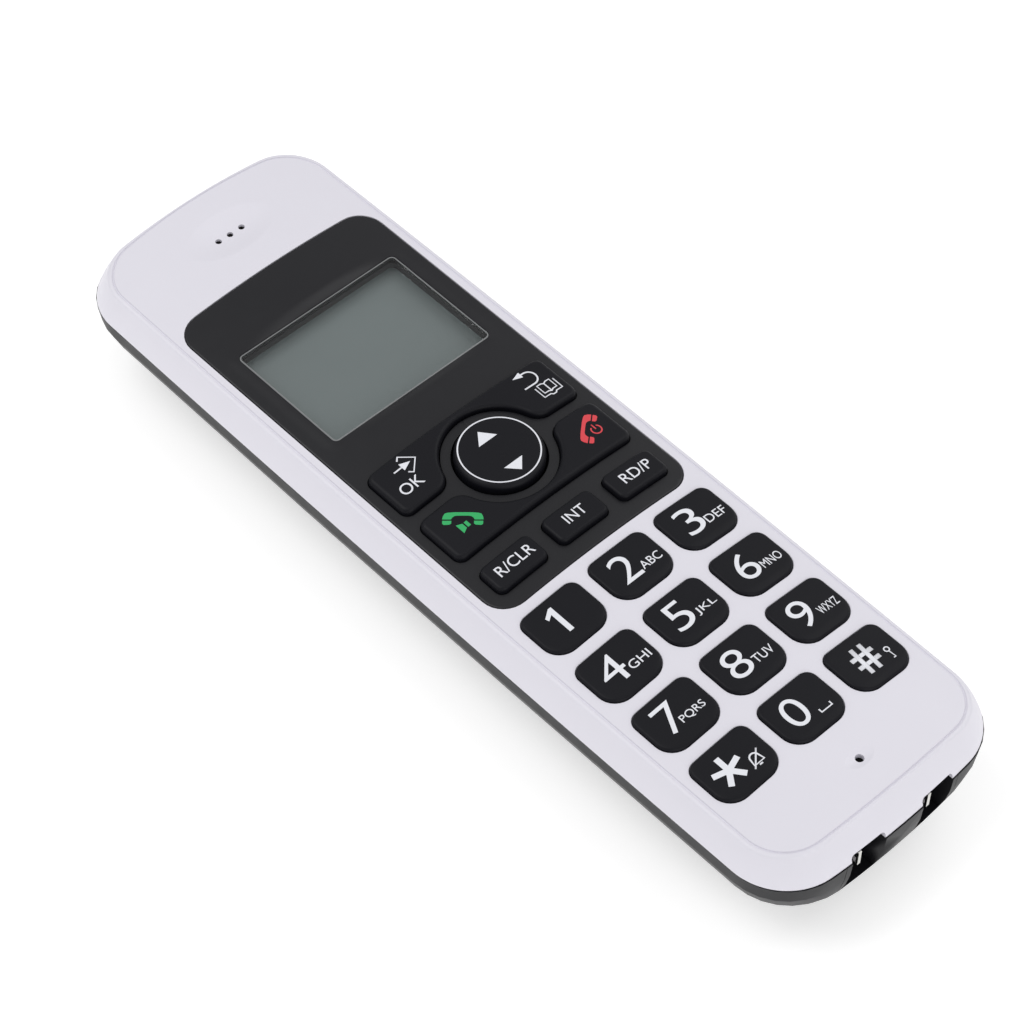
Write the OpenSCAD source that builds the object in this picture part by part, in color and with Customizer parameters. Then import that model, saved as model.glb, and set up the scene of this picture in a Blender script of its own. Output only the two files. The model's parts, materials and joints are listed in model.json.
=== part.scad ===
// Handset of a cordless desk telephone, lying on its back.
// +X is the right side of the face, +Y points to the earpiece end, +Z is up out of the face.
// The origin is the middle of the resting surface.

/* [Handset body] */
// Overall length, tail to earpiece end
body_l = 160; // [158:1:200]
// Overall width at the parting line
body_w = 48.2; // [47:0.1:60]
// Radius of the corners in plan
corner_r = 10.4; // [8:0.1:14]
// Radius of the gently bowed long sides in plan
side_arc_r = 5600; // [2000:100:9000]
// Radius of the bowed ends in plan
end_arc_r = 166; // [100:1:400]
// Radius of the crown across the face
crown_r = 163; // [150:1:400]
// Draft angle of the upper cover's side wall
side_draft = 24.5; // [10:0.5:26]
// How far the wall runs upright before the draft starts
edge_roll = 0.1; // [0:0.05:0.3]
// Depth of the rounded run-in of the back at both ends
tail_round = 10.9; // [6:0.1:14]
// How much the back is flattened to rest on
rear_flat = 0.7; // [0.4:0.1:1.5]

/* [Walls] */
// Wall of the upper cover
cover_wall = 1.6; // [1.2:0.1:2]
// Wall of the rear cover and of the battery door
rear_wall = 1.5; // [1.2:0.1:2]
// Depth of the fine groove that frames the face
groove_depth = 0.25; // [0.1:0.05:0.5]
// Width of that groove
groove_w = 0.4; // [0.3:0.1:0.8]
// Distance from the parting outline to the groove at the sides
groove_side = 2.57; // [2.3:0.01:4]
// Distance from the parting outline to the groove at the ends
groove_end = 2.95; // [2.6:0.01:5]

/* [Digit keys] */
// Column pitch
key_pitch_x = 13.6; // [12.8:0.1:14.2]
// Row pitch
key_pitch_y = 11.55; // [10.7:0.05:11.8]
// Key width
key_w = 11.5; // [9.5:0.1:12.2]
// Key height
key_h = 9.35; // [7.7:0.05:10.2]
// Radius of the two upper corners
key_top_r = 1.75; // [0.5:0.05:3]
// Radius of the two lower corners
key_bottom_r = 3.3; // [0.5:0.1:4]
// How far the keys stand above the face
key_raise = 0.47; // [0.2:0.01:1.5]
// Distance from the tail to the middle of the last row
last_row_y = 20.6; // [20:0.1:21.6]
// Travel of every push key
key_travel = 0.9; // [0.4:0.1:1.2]

/* [Fascia] */
// Width of the dark fascia plate
fascia_w = 39.6; // [39.2:0.1:41]
// Length of the fascia plate
fascia_l = 75.5; // [74:0.1:84]
// Corner radius of the fascia plate
fascia_r = 4.3; // [2:0.1:6]
// Thickness of the fascia plate
fascia_t = 0.9; // [0.6:0.1:1.2]
// Cover floor under the fascia plate
floor_t = 1; // [0.8:0.1:1.5]
// Gap between the first key row and the fascia plate
fascia_gap = 2; // [1.2:0.1:4]

/* [Soft keys and function keys] */
// Width of a function key
func_w = 10; // [8:0.1:11]
// Height of a function key
func_h = 5.6; // [4.4:0.1:6]
// Pitch of the function keys
func_pitch = 12.45; // [11.7:0.05:12.8]
// Middle of the function keys above the fascia plate's lower edge
func_y_up = 5.6; // [5:0.1:6]
// Half width of the two rubber strips beside the rocker
strip_x = 17.95; // [16:0.05:18.1]
// Distance from the rocker's middle to a strip's outer edge
strip_out = 10.8; // [10.2:0.1:11.4]
// Distance from the rocker's middle to a strip's inner edge
strip_in = 0.97; // [0.8:0.01:1.5]
// Corner radius of a strip
strip_r = 1.6; // [0.8:0.1:2.5]
// Blend radius where a strip turns round the rocker
strip_blend = 3; // [2:0.1:3.6]
// How far the strips and function keys stand above the fascia plate
strip_raise = 1.1; // [0.4:0.1:1.5]

/* [Navigation rocker] */
// Radius of the rocker
rocker_r = 7.2; // [6:0.1:7.3]
// Radius of the ring of fascia round the rocker, where the strips begin
ring_r = 9.1; // [9:0.05:9.3]
// Middle of the rocker above the fascia plate's lower edge
rocker_y_up = 22; // [21.4:0.1:22.4]
// How far the rocker stands above the middle of the face
rocker_raise = 1.4; // [0.8:0.1:2]
// Tilt of the rocker each way, in degrees
rocker_tilt = 4; // [2:0.5:5]

/* [Display] */
// Width of the window
window_w = 32.3; // [26:0.1:33.2]
// Height of the window
window_h = 23.3; // [20:0.1:26]
// Corner radius of the window
window_r = 1; // [0.5:0.1:2]
// Middle of the window above the fascia plate's lower edge
window_y_up = 52.85; // [52.2:0.05:56]
// Drop of the window's surface below the crown of the face
window_drop = 0.6; // [0.4:0.1:0.8]
// Thickness of the clear window
window_t = 1.8; // [1:0.1:2.2]

/* [Sound] */
// Distance from the earpiece end to the earpiece holes
ear_from_head = 12.7; // [12:0.1:20]
// Diameter of an earpiece hole
ear_hole_d = 1.1; // [0.6:0.1:2]
// Pitch of the earpiece holes
ear_pitch = 2.38; // [1.8:0.01:4]
// Diameter of the earpiece receiver
receiver_d = 16; // [12:0.5:17]
// Distance from the tail to the microphone hole
mic_from_tail = 9.6; // [9.2:0.1:10.2]
// Diameter of the microphone hole
mic_hole_d = 1.3; // [0.8:0.1:2]
// Diameter of the hands-free speaker
ringer_d = 20; // [16:0.5:24]
// Height of the hands-free speaker
ringer_t = 4.6; // [3:0.1:6]

/* [Battery] */
// Cell diameter
cell_d = 10.5; // [8.5:0.1:13]
// Cell length without the button
cell_l = 43.6; // [36:0.1:53]
// Distance from the tail to the battery bay
bay_from_tail = 19.5; // [18:0.1:30]
// Length of the coil springs at rest
spring_l = 3.2; // [2.6:0.1:5]

/* [Board] */
// Thickness of the circuit board
board_t = 1.2; // [0.8:0.1:1.6]
// Clearance from the board's edge to the parting outline
board_edge = 3.6; // [3.2:0.1:5]
// Thickness of the silicone keypad sheet
mat_t = 1.25; // [0.8:0.05:1.6]

/* [Charging slots] */
// Distance from the middle to the middle of a slot
slot_x = 7.15; // [6:0.05:9]
// Width of a slot
slot_w = 6.6; // [5.6:0.1:7]
// Depth of a slot from the end face
slot_deep = 5.5; // [5:0.1:6]
// Rise of a slot into the upper cover's wall
slot_rise = 1.4; // [0.6:0.1:2]
// Width of a contact strip
contact_w = 0.6; // [0.4:0.1:1.2]
// Offset of the contact strip from the middle of its slot
contact_shift = 1.65; // [1.4:0.05:2]

/* [Fasteners] */
// Screw shank diameter
screw_d = 2; // [1.6:0.1:2.5]
// Screw head diameter
head_d = 3.8; // [3:0.1:4]
// Screw head height
head_t = 1.3; // [1:0.1:1.6]

/* [Clearances] */
// Gap round every push key
key_gap = 0.2; // [0.15:0.05:0.3]
// Gap round the fascia plate and the window
fit_gap = 0.1; // [0.05:0.05:0.15]
// Gap round the battery door
door_gap = 0.2; // [0.1:0.05:0.3]
// Gap between the cells and what surrounds them
cell_gap = 0.4; // [0.2:0.1:0.8]
// Gap round the rocker at the face
rocker_gap = 0.45; // [0.4:0.05:0.5]

/* [Hidden] */

white_c = [0.90, 0.90, 0.93];
fascia_c = [0.17, 0.17, 0.19];
rubber_c = [0.12, 0.12, 0.14];
rear_c = [0.22, 0.22, 0.23];
steel_c = [0.72, 0.73, 0.75];
board_c = [0.10, 0.36, 0.20];

big = 400;
tail = -body_l / 2;
head = body_l / 2;

// Height stack, from the resting surface upward
cell_z = rear_wall + cell_gap + cell_d / 2;
bay_roof_z = cell_z + cell_d / 2 + cell_gap + 0.1;
roof_t = 1.2;
board_gap = 0.6;
board_z = bay_roof_z + roof_t + board_gap;
board_top = board_z + board_t;
part_z = board_top + 0.3;
dome_t = 0.35;
dome_top = board_top + dome_t;
pill_z = dome_top + key_travel + 0.05;
mat_top = board_top + mat_t;
flange_t = 0.9;
flange_z = mat_top + key_travel + 0.35;
flange_top = flange_z + flange_t;
flange_out = 0.6;
flange_gap = 0.15;
strip_drop = crown_r - sqrt(pow(crown_r, 2) - pow(strip_x + flange_out, 2));
digit_drop = crown_r - sqrt(pow(crown_r, 2) - pow(key_pitch_x + key_w / 2 + flange_out, 2));
body_h = flange_top + flange_gap + max(strip_drop + fascia_t + floor_t, digit_drop + cover_wall);

// Places along the length
last_row = tail + last_row_y;
fascia_y0 = last_row + 3 * key_pitch_y + key_h / 2 + fascia_gap;
fascia_mid = fascia_y0 + fascia_l / 2;
func_y = fascia_y0 + func_y_up;
nav_y = fascia_y0 + rocker_y_up;
window_y = fascia_y0 + window_y_up;
ear_y = head - ear_from_head;
mic_y = tail + mic_from_tail;

// Battery bay
bay_y0 = tail + bay_from_tail;
button_l = 0.9;
terminal_t = 0.4;
bay_l = cell_l + button_l + spring_l + 2 * terminal_t + 0.1;
bay_y1 = bay_y0 + bay_l;
cell_x = cell_d / 2 + 0.35;
bay_x = cell_x + cell_d / 2 + cell_gap;
bay_wall = 1.2;

// Battery door and the deck above it
door_y1 = bay_y1 + 5.5;
door_z = rear_wall + cell_gap + 0.44 * cell_d;
deck_t = 1.2;
deck_top = door_z + deck_t;
rib_x = bay_x + bay_wall + 2;
rib_w = 1.2;
rib_up = 0.6;

// Rear shell profile: a half ellipse across, flattened where it rests
rear_b = part_z + rear_flat;
corner_share = 0.85;

// Window, glass and frame
window_top = body_h - window_drop;
seat_z = window_top - window_t;
window_flange = 0.6;
flange_x = 0.7;
rim_z = seat_z - 0.8;
lcd_gasket_t = 0.3;
lcd_top = rim_z - lcd_gasket_t;
guide_t = 1.4;
guide_z = board_top + 0.05;
lcd_z = guide_z + guide_t + 0.05;
lcd_w = window_w + 2.3;
lcd_h = window_h + 4;
frame_wall = 0.8;
lcd_fit = 0.1;
frame_w = lcd_w + 2 * (lcd_fit + frame_wall);
frame_h = lcd_h + 2 * (lcd_fit + frame_wall);

// Holder of the charging contacts
holder_x = slot_x + slot_w / 2 + 1;
holder_y1 = tail + slot_deep + 1;

// Sound
ear_boss_t = 1;
ear_dish_r = 22;
ear_dish_deep = 0.9;
receiver_gasket_t = 0.5;
receiver_top = body_h - cover_wall - ear_boss_t - receiver_gasket_t;
receiver_t = 3.8;
ringer_y = window_y + 5;
ringer_z = rear_wall + 0.5;
mic_d = 6;
mic_t = 2;

// Board
board_y0 = tail + slot_deep + 1.4;
board_y1 = ear_y - receiver_d / 2 - 1.3;
board_w = body_w - 2 * board_edge;
board_screw_x = 15.5;
board_screw_y = [nav_y + strip_out + 2.7, window_y + frame_h / 2 + 2.7];
boss_r = 2.1;
cover_screw_x = 12.5;
cover_screw_y = last_row - key_h / 2 - flange_out - 2.6;
well_d = head_d + 0.4;
cover_screw_l = 9;

// Digit keys, row by row from the top: node name, column, row
DIGITS = [["key_1", -1, 0], ["key_2", 0, 0], ["key_3", 1, 0],
    ["key_4", -1, 1], ["key_5", 0, 1], ["key_6", 1, 1],
    ["key_7", -1, 2], ["key_8", 0, 2], ["key_9", 1, 2],
    ["key_star", -1, 3], ["key_0", 0, 3], ["key_hash", 1, 3]];
// Function keys: node name, column
FUNCS = [["recall_key", -1], ["intercom_key", 0], ["redial_key", 1]];
// Strip halves: node name, side in x, side in y
STRIPS = [["menu_key", -1, 1], ["back_key", 1, 1], ["talk_key", -1, -1], ["end_key", 1, -1]];

function digit_at(key) = [key[1] * key_pitch_x, last_row + (3 - key[2]) * key_pitch_y];
function func_at(key) = [key[1] * func_pitch, func_y];
strip_pill = [(strip_x + ring_r) / 2 - 0.6, (strip_in + strip_out) / 2];
PILLS = concat([for (k = DIGITS) digit_at(k)], [for (k = FUNCS) func_at(k)],
    [for (k = STRIPS) [k[1] * strip_pill[0], nav_y + k[2] * strip_pill[1]]]);
rocker_pill = 4.4;
rocker_pill_d = 3.4;
pivot_z = flange_z - 0.25;
pivot_r = 0.8;
pill_d = 4;

// ---- Outlines -------------------------------------------------------------

// Points on an arc about c, from angle a0 to a1, in n steps
function arc(c, r, a0, a1, n) =
    [for (i = [0:n]) let (a = a0 + (a1 - a0) * i / n) c + r * [cos(a), sin(a)]];

// Upper meeting point of two circles
function circle_meet(p, rp, q, rq) =
    let (d = q - p, l = norm(d), u = d / l, a = (rp * rp - rq * rq + l * l) / (2 * l))
    p + a * u + sqrt(rp * rp - a * a) * [-u[1], u[0]];

// One quarter mirrored into a closed outline
function four_way(q) = let (n = len(q)) concat(
    [for (i = [0:n - 2]) q[i]], [for (i = [n - 1:-1:1]) [-q[i][0], q[i][1]]],
    [for (i = [0:n - 2]) -q[i]], [for (i = [n - 1:-1:1]) [q[i][0], -q[i][1]]]);

// Body outline of half width hw and half length hl: bowed sides and ends, round corners
function body_outline(hw, hl, r) =
    let (cs = [hw - side_arc_r, 0], ce = [0, hl - end_arc_r],
        c = circle_meet(cs, side_arc_r - r, ce, end_arc_r - r),
        a_s = atan2(c[1] - cs[1], c[0] - cs[0]), a_e = atan2(c[1] - ce[1], c[0] - ce[0]),
        side = arc(cs, side_arc_r, 0, a_s, 3), end = arc(ce, end_arc_r, a_e, 90, 3))
    four_way(concat([for (i = [0:2]) side[i]], arc(c, r, a_s, a_e, 7), [for (i = [1:3]) end[i]]));

// Rectangle w by h with upper corner radius rt and lower corner radius rb, grown by g
function round_box(w, h, rt, rb, g = 0) =
    let (x = w / 2, y = h / 2, n = 6) concat(
    arc([x - rt, y - rt], rt + g, 0, 90, n), arc([rt - x, y - rt], rt + g, 90, 180, n),
    arc([rb - x, rb - y], rb + g, 180, 270, n), arc([x - rb, rb - y], rb + g, 270, 360, n));

// Half of a strip, right of the rocker and above it, grown by g; x0 is its inner end
function strip_outline(g, x0) =
    let (fx = sqrt(pow(ring_r + strip_blend, 2) - pow(strip_in + strip_blend, 2)),
        f = [fx, strip_in + strip_blend], a = atan2(f[1], f[0]),
        xc = strip_x - strip_r, yt = strip_out - strip_r, yb = strip_in + strip_r)
    concat([[x0, strip_out + g]], [for (p = arc([0, 0], ring_r - g, acos(x0 / (ring_r - g)), a, 10)) p],
        arc(f, strip_blend + g, 180 + a, 270, 6),
        arc([xc, yb], strip_r + g, 270, 360, 5), arc([xc, yt], strip_r + g, 0, 90, 5));

// ---- Shared solids --------------------------------------------------------

// Closed solid through rings of equal point count, given as [height, points], bottom to top
module loft(rings) {
    n = len(rings[0][1]);
    m = len(rings);
    points = [for (ring = rings) for (p = ring[1]) [p[0], p[1], ring[0]]];
    sides = [for (k = [0:m - 2]) for (i = [0:n - 1]) let (j = (i + 1) % n)
        [k * n + i, (k + 1) * n + i, (k + 1) * n + j, k * n + j]];
    polyhedron(points, concat([[for (i = [0:n - 1]) i]], sides,
        [[for (i = [n - 1:-1:0]) (m - 1) * n + i]]), convexity = 4);
}

// Everything below the crowned face moved by d
module crown(d) {
    translate([0, 0, body_h - crown_r]) rotate([90, 0, 0])
        cylinder(r = crown_r + d, h = 2 * big, center = true, $fn = 200);
}

// Inset of the upper cover's wall at height h over the parting line
function draft_inset(h) = max(0, tan(side_draft) * h - edge_roll);

module front_form(wall) {
    low = edge_roll / tan(side_draft);
    rings = [for (h = [-wall, 0, low + 0.3, body_h - part_z + 1]) let (s = draft_inset(h) + wall)
        [part_z + h, body_outline(body_w / 2 - s, body_l / 2 - s, corner_r - s)]];
    loft(wall > 0 ? rings : [for (i = [1:3]) rings[i]]);
}

// Back of the handset: half-ellipse sections, smaller by wall, down to height low
module rear_form(wall, low) {
    b = rear_b - wall;
    last = asin((part_z - low) / b);
    steps = 7;
    rings = [for (i = [steps:-1:0]) let (a = last * i / steps, k = cos(a),
            hw = (body_w / 2 - wall) * k, hl = body_l / 2 - wall - tail_round * (1 - k))
        [part_z - b * sin(a), body_outline(hw, hl, min(corner_r - wall, hw * corner_share))]];
    loft(wall > 0 ? concat(rings, [[part_z + 1, rings[steps][1]]]) : rings);
}

// Band between two crown offsets, inside a plan outline
module crown_band(top, bottom) {
    difference() {
        intersection() {
            translate([0, 0, part_z]) linear_extrude(body_h) children();
            crown(top);
        }
        crown(bottom);
    }
}

module prism(z0, z1) {
    translate([0, 0, z0]) linear_extrude(z1 - z0) children();
}

module block(x0, x1, y0, y1, z0, z1) {
    translate([x0, y0, z0]) cube([x1 - x0, y1 - y0, z1 - z0]);
}

module at_screws(x, ys) {
    for (y = ys, s = [-1, 1]) translate([s * x, y, 0]) children();
}

module rod(z0, z1, d) {
    translate([0, 0, z0]) cylinder(d = d, h = z1 - z0, $fn = 32);
}

module face_rect(w, h, r, y) {
    translate([0, y]) polygon(round_box(w, h, r, r));
}

module fascia_2d(grow) {
    translate([0, fascia_mid]) polygon(round_box(fascia_w, fascia_l, fascia_r, fascia_r, grow));
}

// Pocket for the window's flange
module window_pocket_2d() {
    margin = 2 * (flange_x + fit_gap);
    face_rect(window_w + margin, window_h + margin, 1.2, window_y);
}

// Every push key of the fascia, grown by g
module fascia_keys_2d(g) {
    for (k = FUNCS) translate(func_at(k)) polygon(round_box(func_w, func_h, 1.2, 1.2, g));
    for (sx = [0, 1], sy = [0, 1]) translate([0, nav_y]) mirror([sx, 0]) mirror([0, sy])
        polygon(strip_outline(g, 0));
    translate([0, nav_y]) circle(r = rocker_r + rocker_gap, $fn = 96);
}

// ---- Covers ---------------------------------------------------------------

module front_cover() {
    color(white_c) difference() {
        union() {
            difference() {
                intersection() { front_form(0); crown(0); }
                intersection() { front_form(cover_wall); crown(-cover_wall); }
            }
            crown_band(-fascia_t, -fascia_t - floor_t) fascia_2d(0.8);
            intersection() {
                crown(-cover_wall / 2);
                union() {
                    at_screws(board_screw_x, board_screw_y) rod(board_top, body_h, 2 * boss_r);
                    at_screws(cover_screw_x, [cover_screw_y]) rod(board_top, body_h, 2 * boss_r);
                    translate([0, ear_y, 0]) rod(body_h - cover_wall - ear_boss_t, body_h, receiver_d);
                    prism(rim_z, body_h)
                        face_rect(window_w + 2 * flange_x + 2, window_h + 2 * flange_x + 2, 1.5, window_y);
                    slot_roofs();
                }
            }
            snap_tabs();
        }
        crown_recess() fascia_2d(fit_gap);
        translate([0, 0, seat_z]) linear_extrude(body_h)
            window_pocket_2d();
        prism(part_z, body_h + 1) {
            face_rect(window_w, window_h, window_r, window_y);
            fascia_keys_2d(key_gap);
            for (k = DIGITS) translate(digit_at(k))
                polygon(round_box(key_w, key_h, key_top_r, key_bottom_r, key_gap));
        }
        crown_recess(groove_depth) face_groove_2d();
        at_screws(board_screw_x, board_screw_y) rod(board_top - 1, board_top + 3.6, 0.8 * screw_d);
        at_screws(cover_screw_x, [cover_screw_y]) rod(board_top - 1, board_top + 4.2, 0.8 * screw_d);
        ear_openings();
        translate([0, mic_y, 0]) {
            rod(part_z, body_h + 1, mic_hole_d);
            translate([0, 0, body_h + 5]) sphere(r = 5.4, $fn = 64);
        }
        slots(part_z - 1, part_z + slot_rise);
    }
}

// What lies above the crowned face sunk by the fascia's thickness, inside a plan outline
module crown_recess(deep = fascia_t) {
    difference() {
        prism(part_z, body_h + 1) children();
        crown(-deep);
    }
}

module face_groove_2d() {
    hw = body_w / 2 - groove_side;
    hl = body_l / 2 - groove_end;
    r = corner_r - groove_side;
    difference() {
        polygon(body_outline(hw, hl, r));
        polygon(body_outline(hw - groove_w, hl - groove_w, r - groove_w));
    }
}

module ear_openings() {
    for (i = [-1:1]) translate([i * ear_pitch, ear_y, 0]) rod(part_z, body_h + 1, ear_hole_d);
    translate([0, ear_y, body_h + ear_dish_r - ear_dish_deep]) sphere(r = ear_dish_r, $fn = 96);
}

module slots(z0, z1) {
    for (s = [-1, 1])
        block(s * slot_x - slot_w / 2, s * slot_x + slot_w / 2, tail - 1, tail + slot_deep, z0, z1);
}

// Roofs that close the charging slots above the parting line
module slot_roofs() {
    for (s = [-1, 1]) block(s * slot_x - slot_w / 2 - 1, s * slot_x + slot_w / 2 + 1,
        tail + 2.5, tail + slot_deep + 1, part_z + slot_rise, part_z + slot_rise + 1.6);
}

// Tabs that clip the upper cover inside the rear cover
module snap_tabs() {
    w = 5;
    side = body_w / 2 - cover_wall - 0.65;
    for (s = [-1, 1], y = [tail + 30, tail + 55, nav_y + 6, head - 30])
        block(min(s * side, s * (side - 0.8)), max(s * side, s * (side - 0.8)), y, y + w,
            part_z - 2.6, part_z + 2.4);
    block(-w, w, head - cover_wall - 1.4, head - cover_wall - 0.6, part_z - 2.6, part_z + 2.4);
}

module rear_cover() {
    color(rear_c) difference() {
        union() {
            difference() {
                rear_form(0, 0);
                rear_form(rear_wall, rear_wall);
                block(-body_w, body_w, tail - 1, door_y1, -1, door_z);
            }
            intersection() {
                rear_form(0, 0);
                union() {
                    block(-body_w, body_w, tail - 1, door_y1 + bay_wall, door_z, deck_top);
                    block(-body_w, body_w, door_y1, door_y1 + bay_wall, -1, deck_top);
                    block(-bay_x - bay_wall, bay_x + bay_wall, bay_y0 - bay_wall,
                        bay_y1 + bay_wall, door_z, bay_roof_z + roof_t);
                    at_screws(cover_screw_x, [cover_screw_y]) rod(door_z, board_z, well_d + 1.8);
                    translate([0, ringer_y, 0])
                        ring(0, ringer_z + 2.5, ringer_d + 3, ringer_d + 0.6);
                    translate([0, ear_y, 0])
                        ring(0, receiver_top - receiver_t, receiver_d - 1, receiver_d - 4);
                }
            }
        }
        block(-bay_x, bay_x, bay_y0, bay_y1, -1, bay_roof_z);
        block(-holder_x - fit_gap, holder_x + fit_gap, tail - 1, holder_y1 + fit_gap,
            deck_top, part_z + 1);
        for (s = [-1, 1]) block(s * rib_x - rib_w / 2 - door_gap, s * rib_x + rib_w / 2 + door_gap,
            tail - 1, door_y1 - 1, door_z - 1, door_z + rib_up + door_gap);
        at_screws(cover_screw_x, [cover_screw_y]) {
            rod(door_z - 1, board_z - 2, well_d);
            rod(board_z - 3, board_z + 1, screw_d + 0.5);
        }
        translate([0, ringer_y, 0]) {
            rod(rear_wall, ringer_z + 2, ringer_d + 0.2);
            rod(-1, rear_wall + 1, 1.8);
            for (a = [0:60:300]) rotate(a) translate([4.5, 0, 0]) rod(-1, rear_wall + 1, 1.8);
        }
    }
}

// Holder of the two charging contacts, let into the tail of the rear cover
module contact_holder() {
    color(rear_c) difference() {
        intersection() {
            rear_form(0, 0);
            block(-holder_x, holder_x, tail, holder_y1, deck_top, part_z);
        }
        slots(deck_top - 1, part_z + 1);
        for (s = [-1, 1])
            block(s * slot_x - contact_shift - contact_w, s * slot_x - contact_shift + contact_w,
                tail + slot_deep - 1, holder_y1 + 1, board_z - 0.8, part_z + 1);
    }
}

module ring(z0, z1, d_out, d_in) {
    difference() {
        rod(z0, z1, d_out);
        rod(z0 - 1, z1 + 1, d_in);
    }
}

module battery_door() {
    top = door_z - door_gap;
    color(rear_c) difference() {
        union() {
            difference() {
                intersection() {
                    rear_form(0, 0);
                    block(-body_w, body_w, tail - 1, door_y1 - door_gap, -1, top);
                }
                rear_form(rear_wall, rear_wall);
            }
            intersection() {
                rear_form(0, 0);
                for (s = [-1, 1]) block(s * rib_x - rib_w / 2, s * rib_x + rib_w / 2,
                    bay_y0, door_y1 - 3, 0, door_z + rib_up);
            }
        }
        for (s = [-1, 1]) translate([s * cell_x, bay_y0, cell_z]) rotate([-90, 0, 0])
            cylinder(d = cell_d + cell_gap, h = bay_l, $fn = 64);
        for (i = [0:4]) translate([0, door_y1 - 6 - 1.8 * i, -0.4])
            rotate([0, 90, 0]) cylinder(d = 1.6, h = 14 - i, center = true, $fn = 24);
    }
}

// ---- Fascia and display ---------------------------------------------------

module fascia() {
    color(fascia_c) difference() {
        crown_band(0, -fascia_t) fascia_2d(0);
        prism(part_z, body_h + 1) {
            face_rect(window_w, window_h, window_r, window_y);
            fascia_keys_2d(key_gap);
        }
        prism(part_z, seat_z + window_flange + fit_gap)
            window_pocket_2d();
        prism(window_top, body_h + 1) face_rect(window_w + 1.2, window_h + 1.2, window_r, window_y);
    }
}

module display_window() {
    color([0.75, 0.8, 0.8, 0.4]) {
        prism(seat_z + window_flange, window_top)
            face_rect(window_w - 2 * fit_gap, window_h - 2 * fit_gap, window_r, window_y);
        prism(seat_z, seat_z + window_flange)
            face_rect(window_w + 2 * flange_x, window_h + 2 * flange_x, window_r, window_y);
    }
}

module window_gasket() {
    color([0.08, 0.08, 0.09]) prism(lcd_top, rim_z) difference() {
        face_rect(window_w + 2, window_h + 2, 1, window_y);
        face_rect(window_w + 0.2, window_h + 0.2, 0.6, window_y);
    }
}

module lcd_glass() {
    color([0.44, 0.48, 0.48]) prism(lcd_z, lcd_top) face_rect(lcd_w, lcd_h, 0.3, window_y);
}

module lcd_frame() {
    color(white_c) prism(board_top, lcd_top - 0.1) difference() {
        face_rect(frame_w, frame_h, 1, window_y);
        face_rect(lcd_w + 2 * lcd_fit, lcd_h + 2 * lcd_fit, 0.4, window_y);
    }
}

module light_guide() {
    color([0.85, 0.9, 0.85]) block(-lcd_w / 2 + 0.3, lcd_w / 2 - 0.3, window_y - lcd_h / 2 + 2.2,
        window_y + lcd_h / 2 - 0.3, guide_z, guide_z + guide_t);
}

module lcd_connector() {
    color([0.25, 0.25, 0.28]) block(-lcd_w / 2 + 2, lcd_w / 2 - 2, window_y - lcd_h / 2 + 0.3,
        window_y - lcd_h / 2 + 1.8, board_top, lcd_z);
}

// ---- Keys -----------------------------------------------------------------

// Push key with plan outline in children(0) and flange outline in children(1)
module push_key(pos, raise, pill) {
    color(rubber_c) {
        intersection() {
            translate([pos[0], pos[1], flange_top]) linear_extrude(body_h) children(0);
            crown(raise);
        }
        translate([pos[0], pos[1], flange_z]) linear_extrude(flange_t) children(1);
        translate([pill[0], pill[1], 0]) rod(pill_z, flange_z, pill_d);
    }
}

module digit_key(key) {
    push_key(digit_at(key), key_raise, digit_at(key)) {
        polygon(round_box(key_w, key_h, key_top_r, key_bottom_r));
        polygon(round_box(key_w, key_h, key_top_r, key_bottom_r, flange_out));
    }
}

module func_key(key) {
    push_key(func_at(key), strip_raise, func_at(key)) {
        polygon(round_box(func_w, func_h, 1.2, 1.2));
        polygon(round_box(func_w, func_h, 1.2, 1.2, flange_out));
    }
}

module strip_key(key) {
    hair = 0.05;
    push_key([0, nav_y], strip_raise, [key[1] * strip_pill[0], nav_y + key[2] * strip_pill[1]]) {
        mirror([key[1] < 0 ? 1 : 0, 0]) mirror([0, key[2] < 0 ? 1 : 0]) polygon(strip_outline(0, hair));
        mirror([key[1] < 0 ? 1 : 0, 0]) mirror([0, key[2] < 0 ? 1 : 0])
            polygon(strip_outline(flange_out, hair));
    }
}

module nav_rocker() {
    pill_drop = (rocker_pill + rocker_pill_d / 2) * sin(rocker_tilt) + 0.05;
    color(rubber_c) translate([0, nav_y, 0]) {
        rod(flange_z, flange_top, 2 * (rocker_r + 0.7));
        translate([0, 0, flange_top]) rotate_extrude($fn = 96) polygon(concat(
            [[0, 0], [rocker_r, 0]],
            arc([rocker_r - 0.8, body_h + rocker_raise - flange_top - 0.8], 0.8, 0, 90, 6),
            [[0, body_h + rocker_raise - flange_top]]));
        for (s = [-1, 1]) translate([0, s * rocker_pill, 0])
            rod(dome_top + pill_drop, flange_z, rocker_pill_d);
        translate([0, 0, pivot_z]) rotate([0, 90, 0])
            cylinder(r = pivot_r, h = 5, center = true, $fn = 32);
    }
}

module keypad_mat() {
    y0 = last_row - key_h / 2 - 0.7;
    y1 = nav_y + strip_out + 0.5;
    w = 2 * key_pitch_x + key_w + 0.4;
    color([0.2, 0.2, 0.22]) difference() {
        union() {
            prism(board_top, mat_top) translate([0, (y0 + y1) / 2])
                polygon(round_box(w, y1 - y0, 2, 2));
            translate([0, nav_y, 0]) rod(board_top, pivot_z - pivot_r - 0.02, 3.4);
        }
        for (p = PILLS) translate([p[0], p[1], 0]) rod(board_top - 1, mat_top + 1, pill_d + 2.2);
        for (s = [-1, 1]) translate([0, nav_y + s * rocker_pill, 0])
            rod(board_top - 1, mat_top + 1, 5.6);
    }
}

module snap_domes() {
    color(steel_c) {
        for (p = PILLS) translate([p[0], p[1], 0]) rod(board_top, dome_top, 5);
        for (s = [-1, 1]) translate([0, nav_y + s * rocker_pill, 0]) rod(board_top, dome_top, 4.4);
    }
}

// ---- Electronics ----------------------------------------------------------

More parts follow.
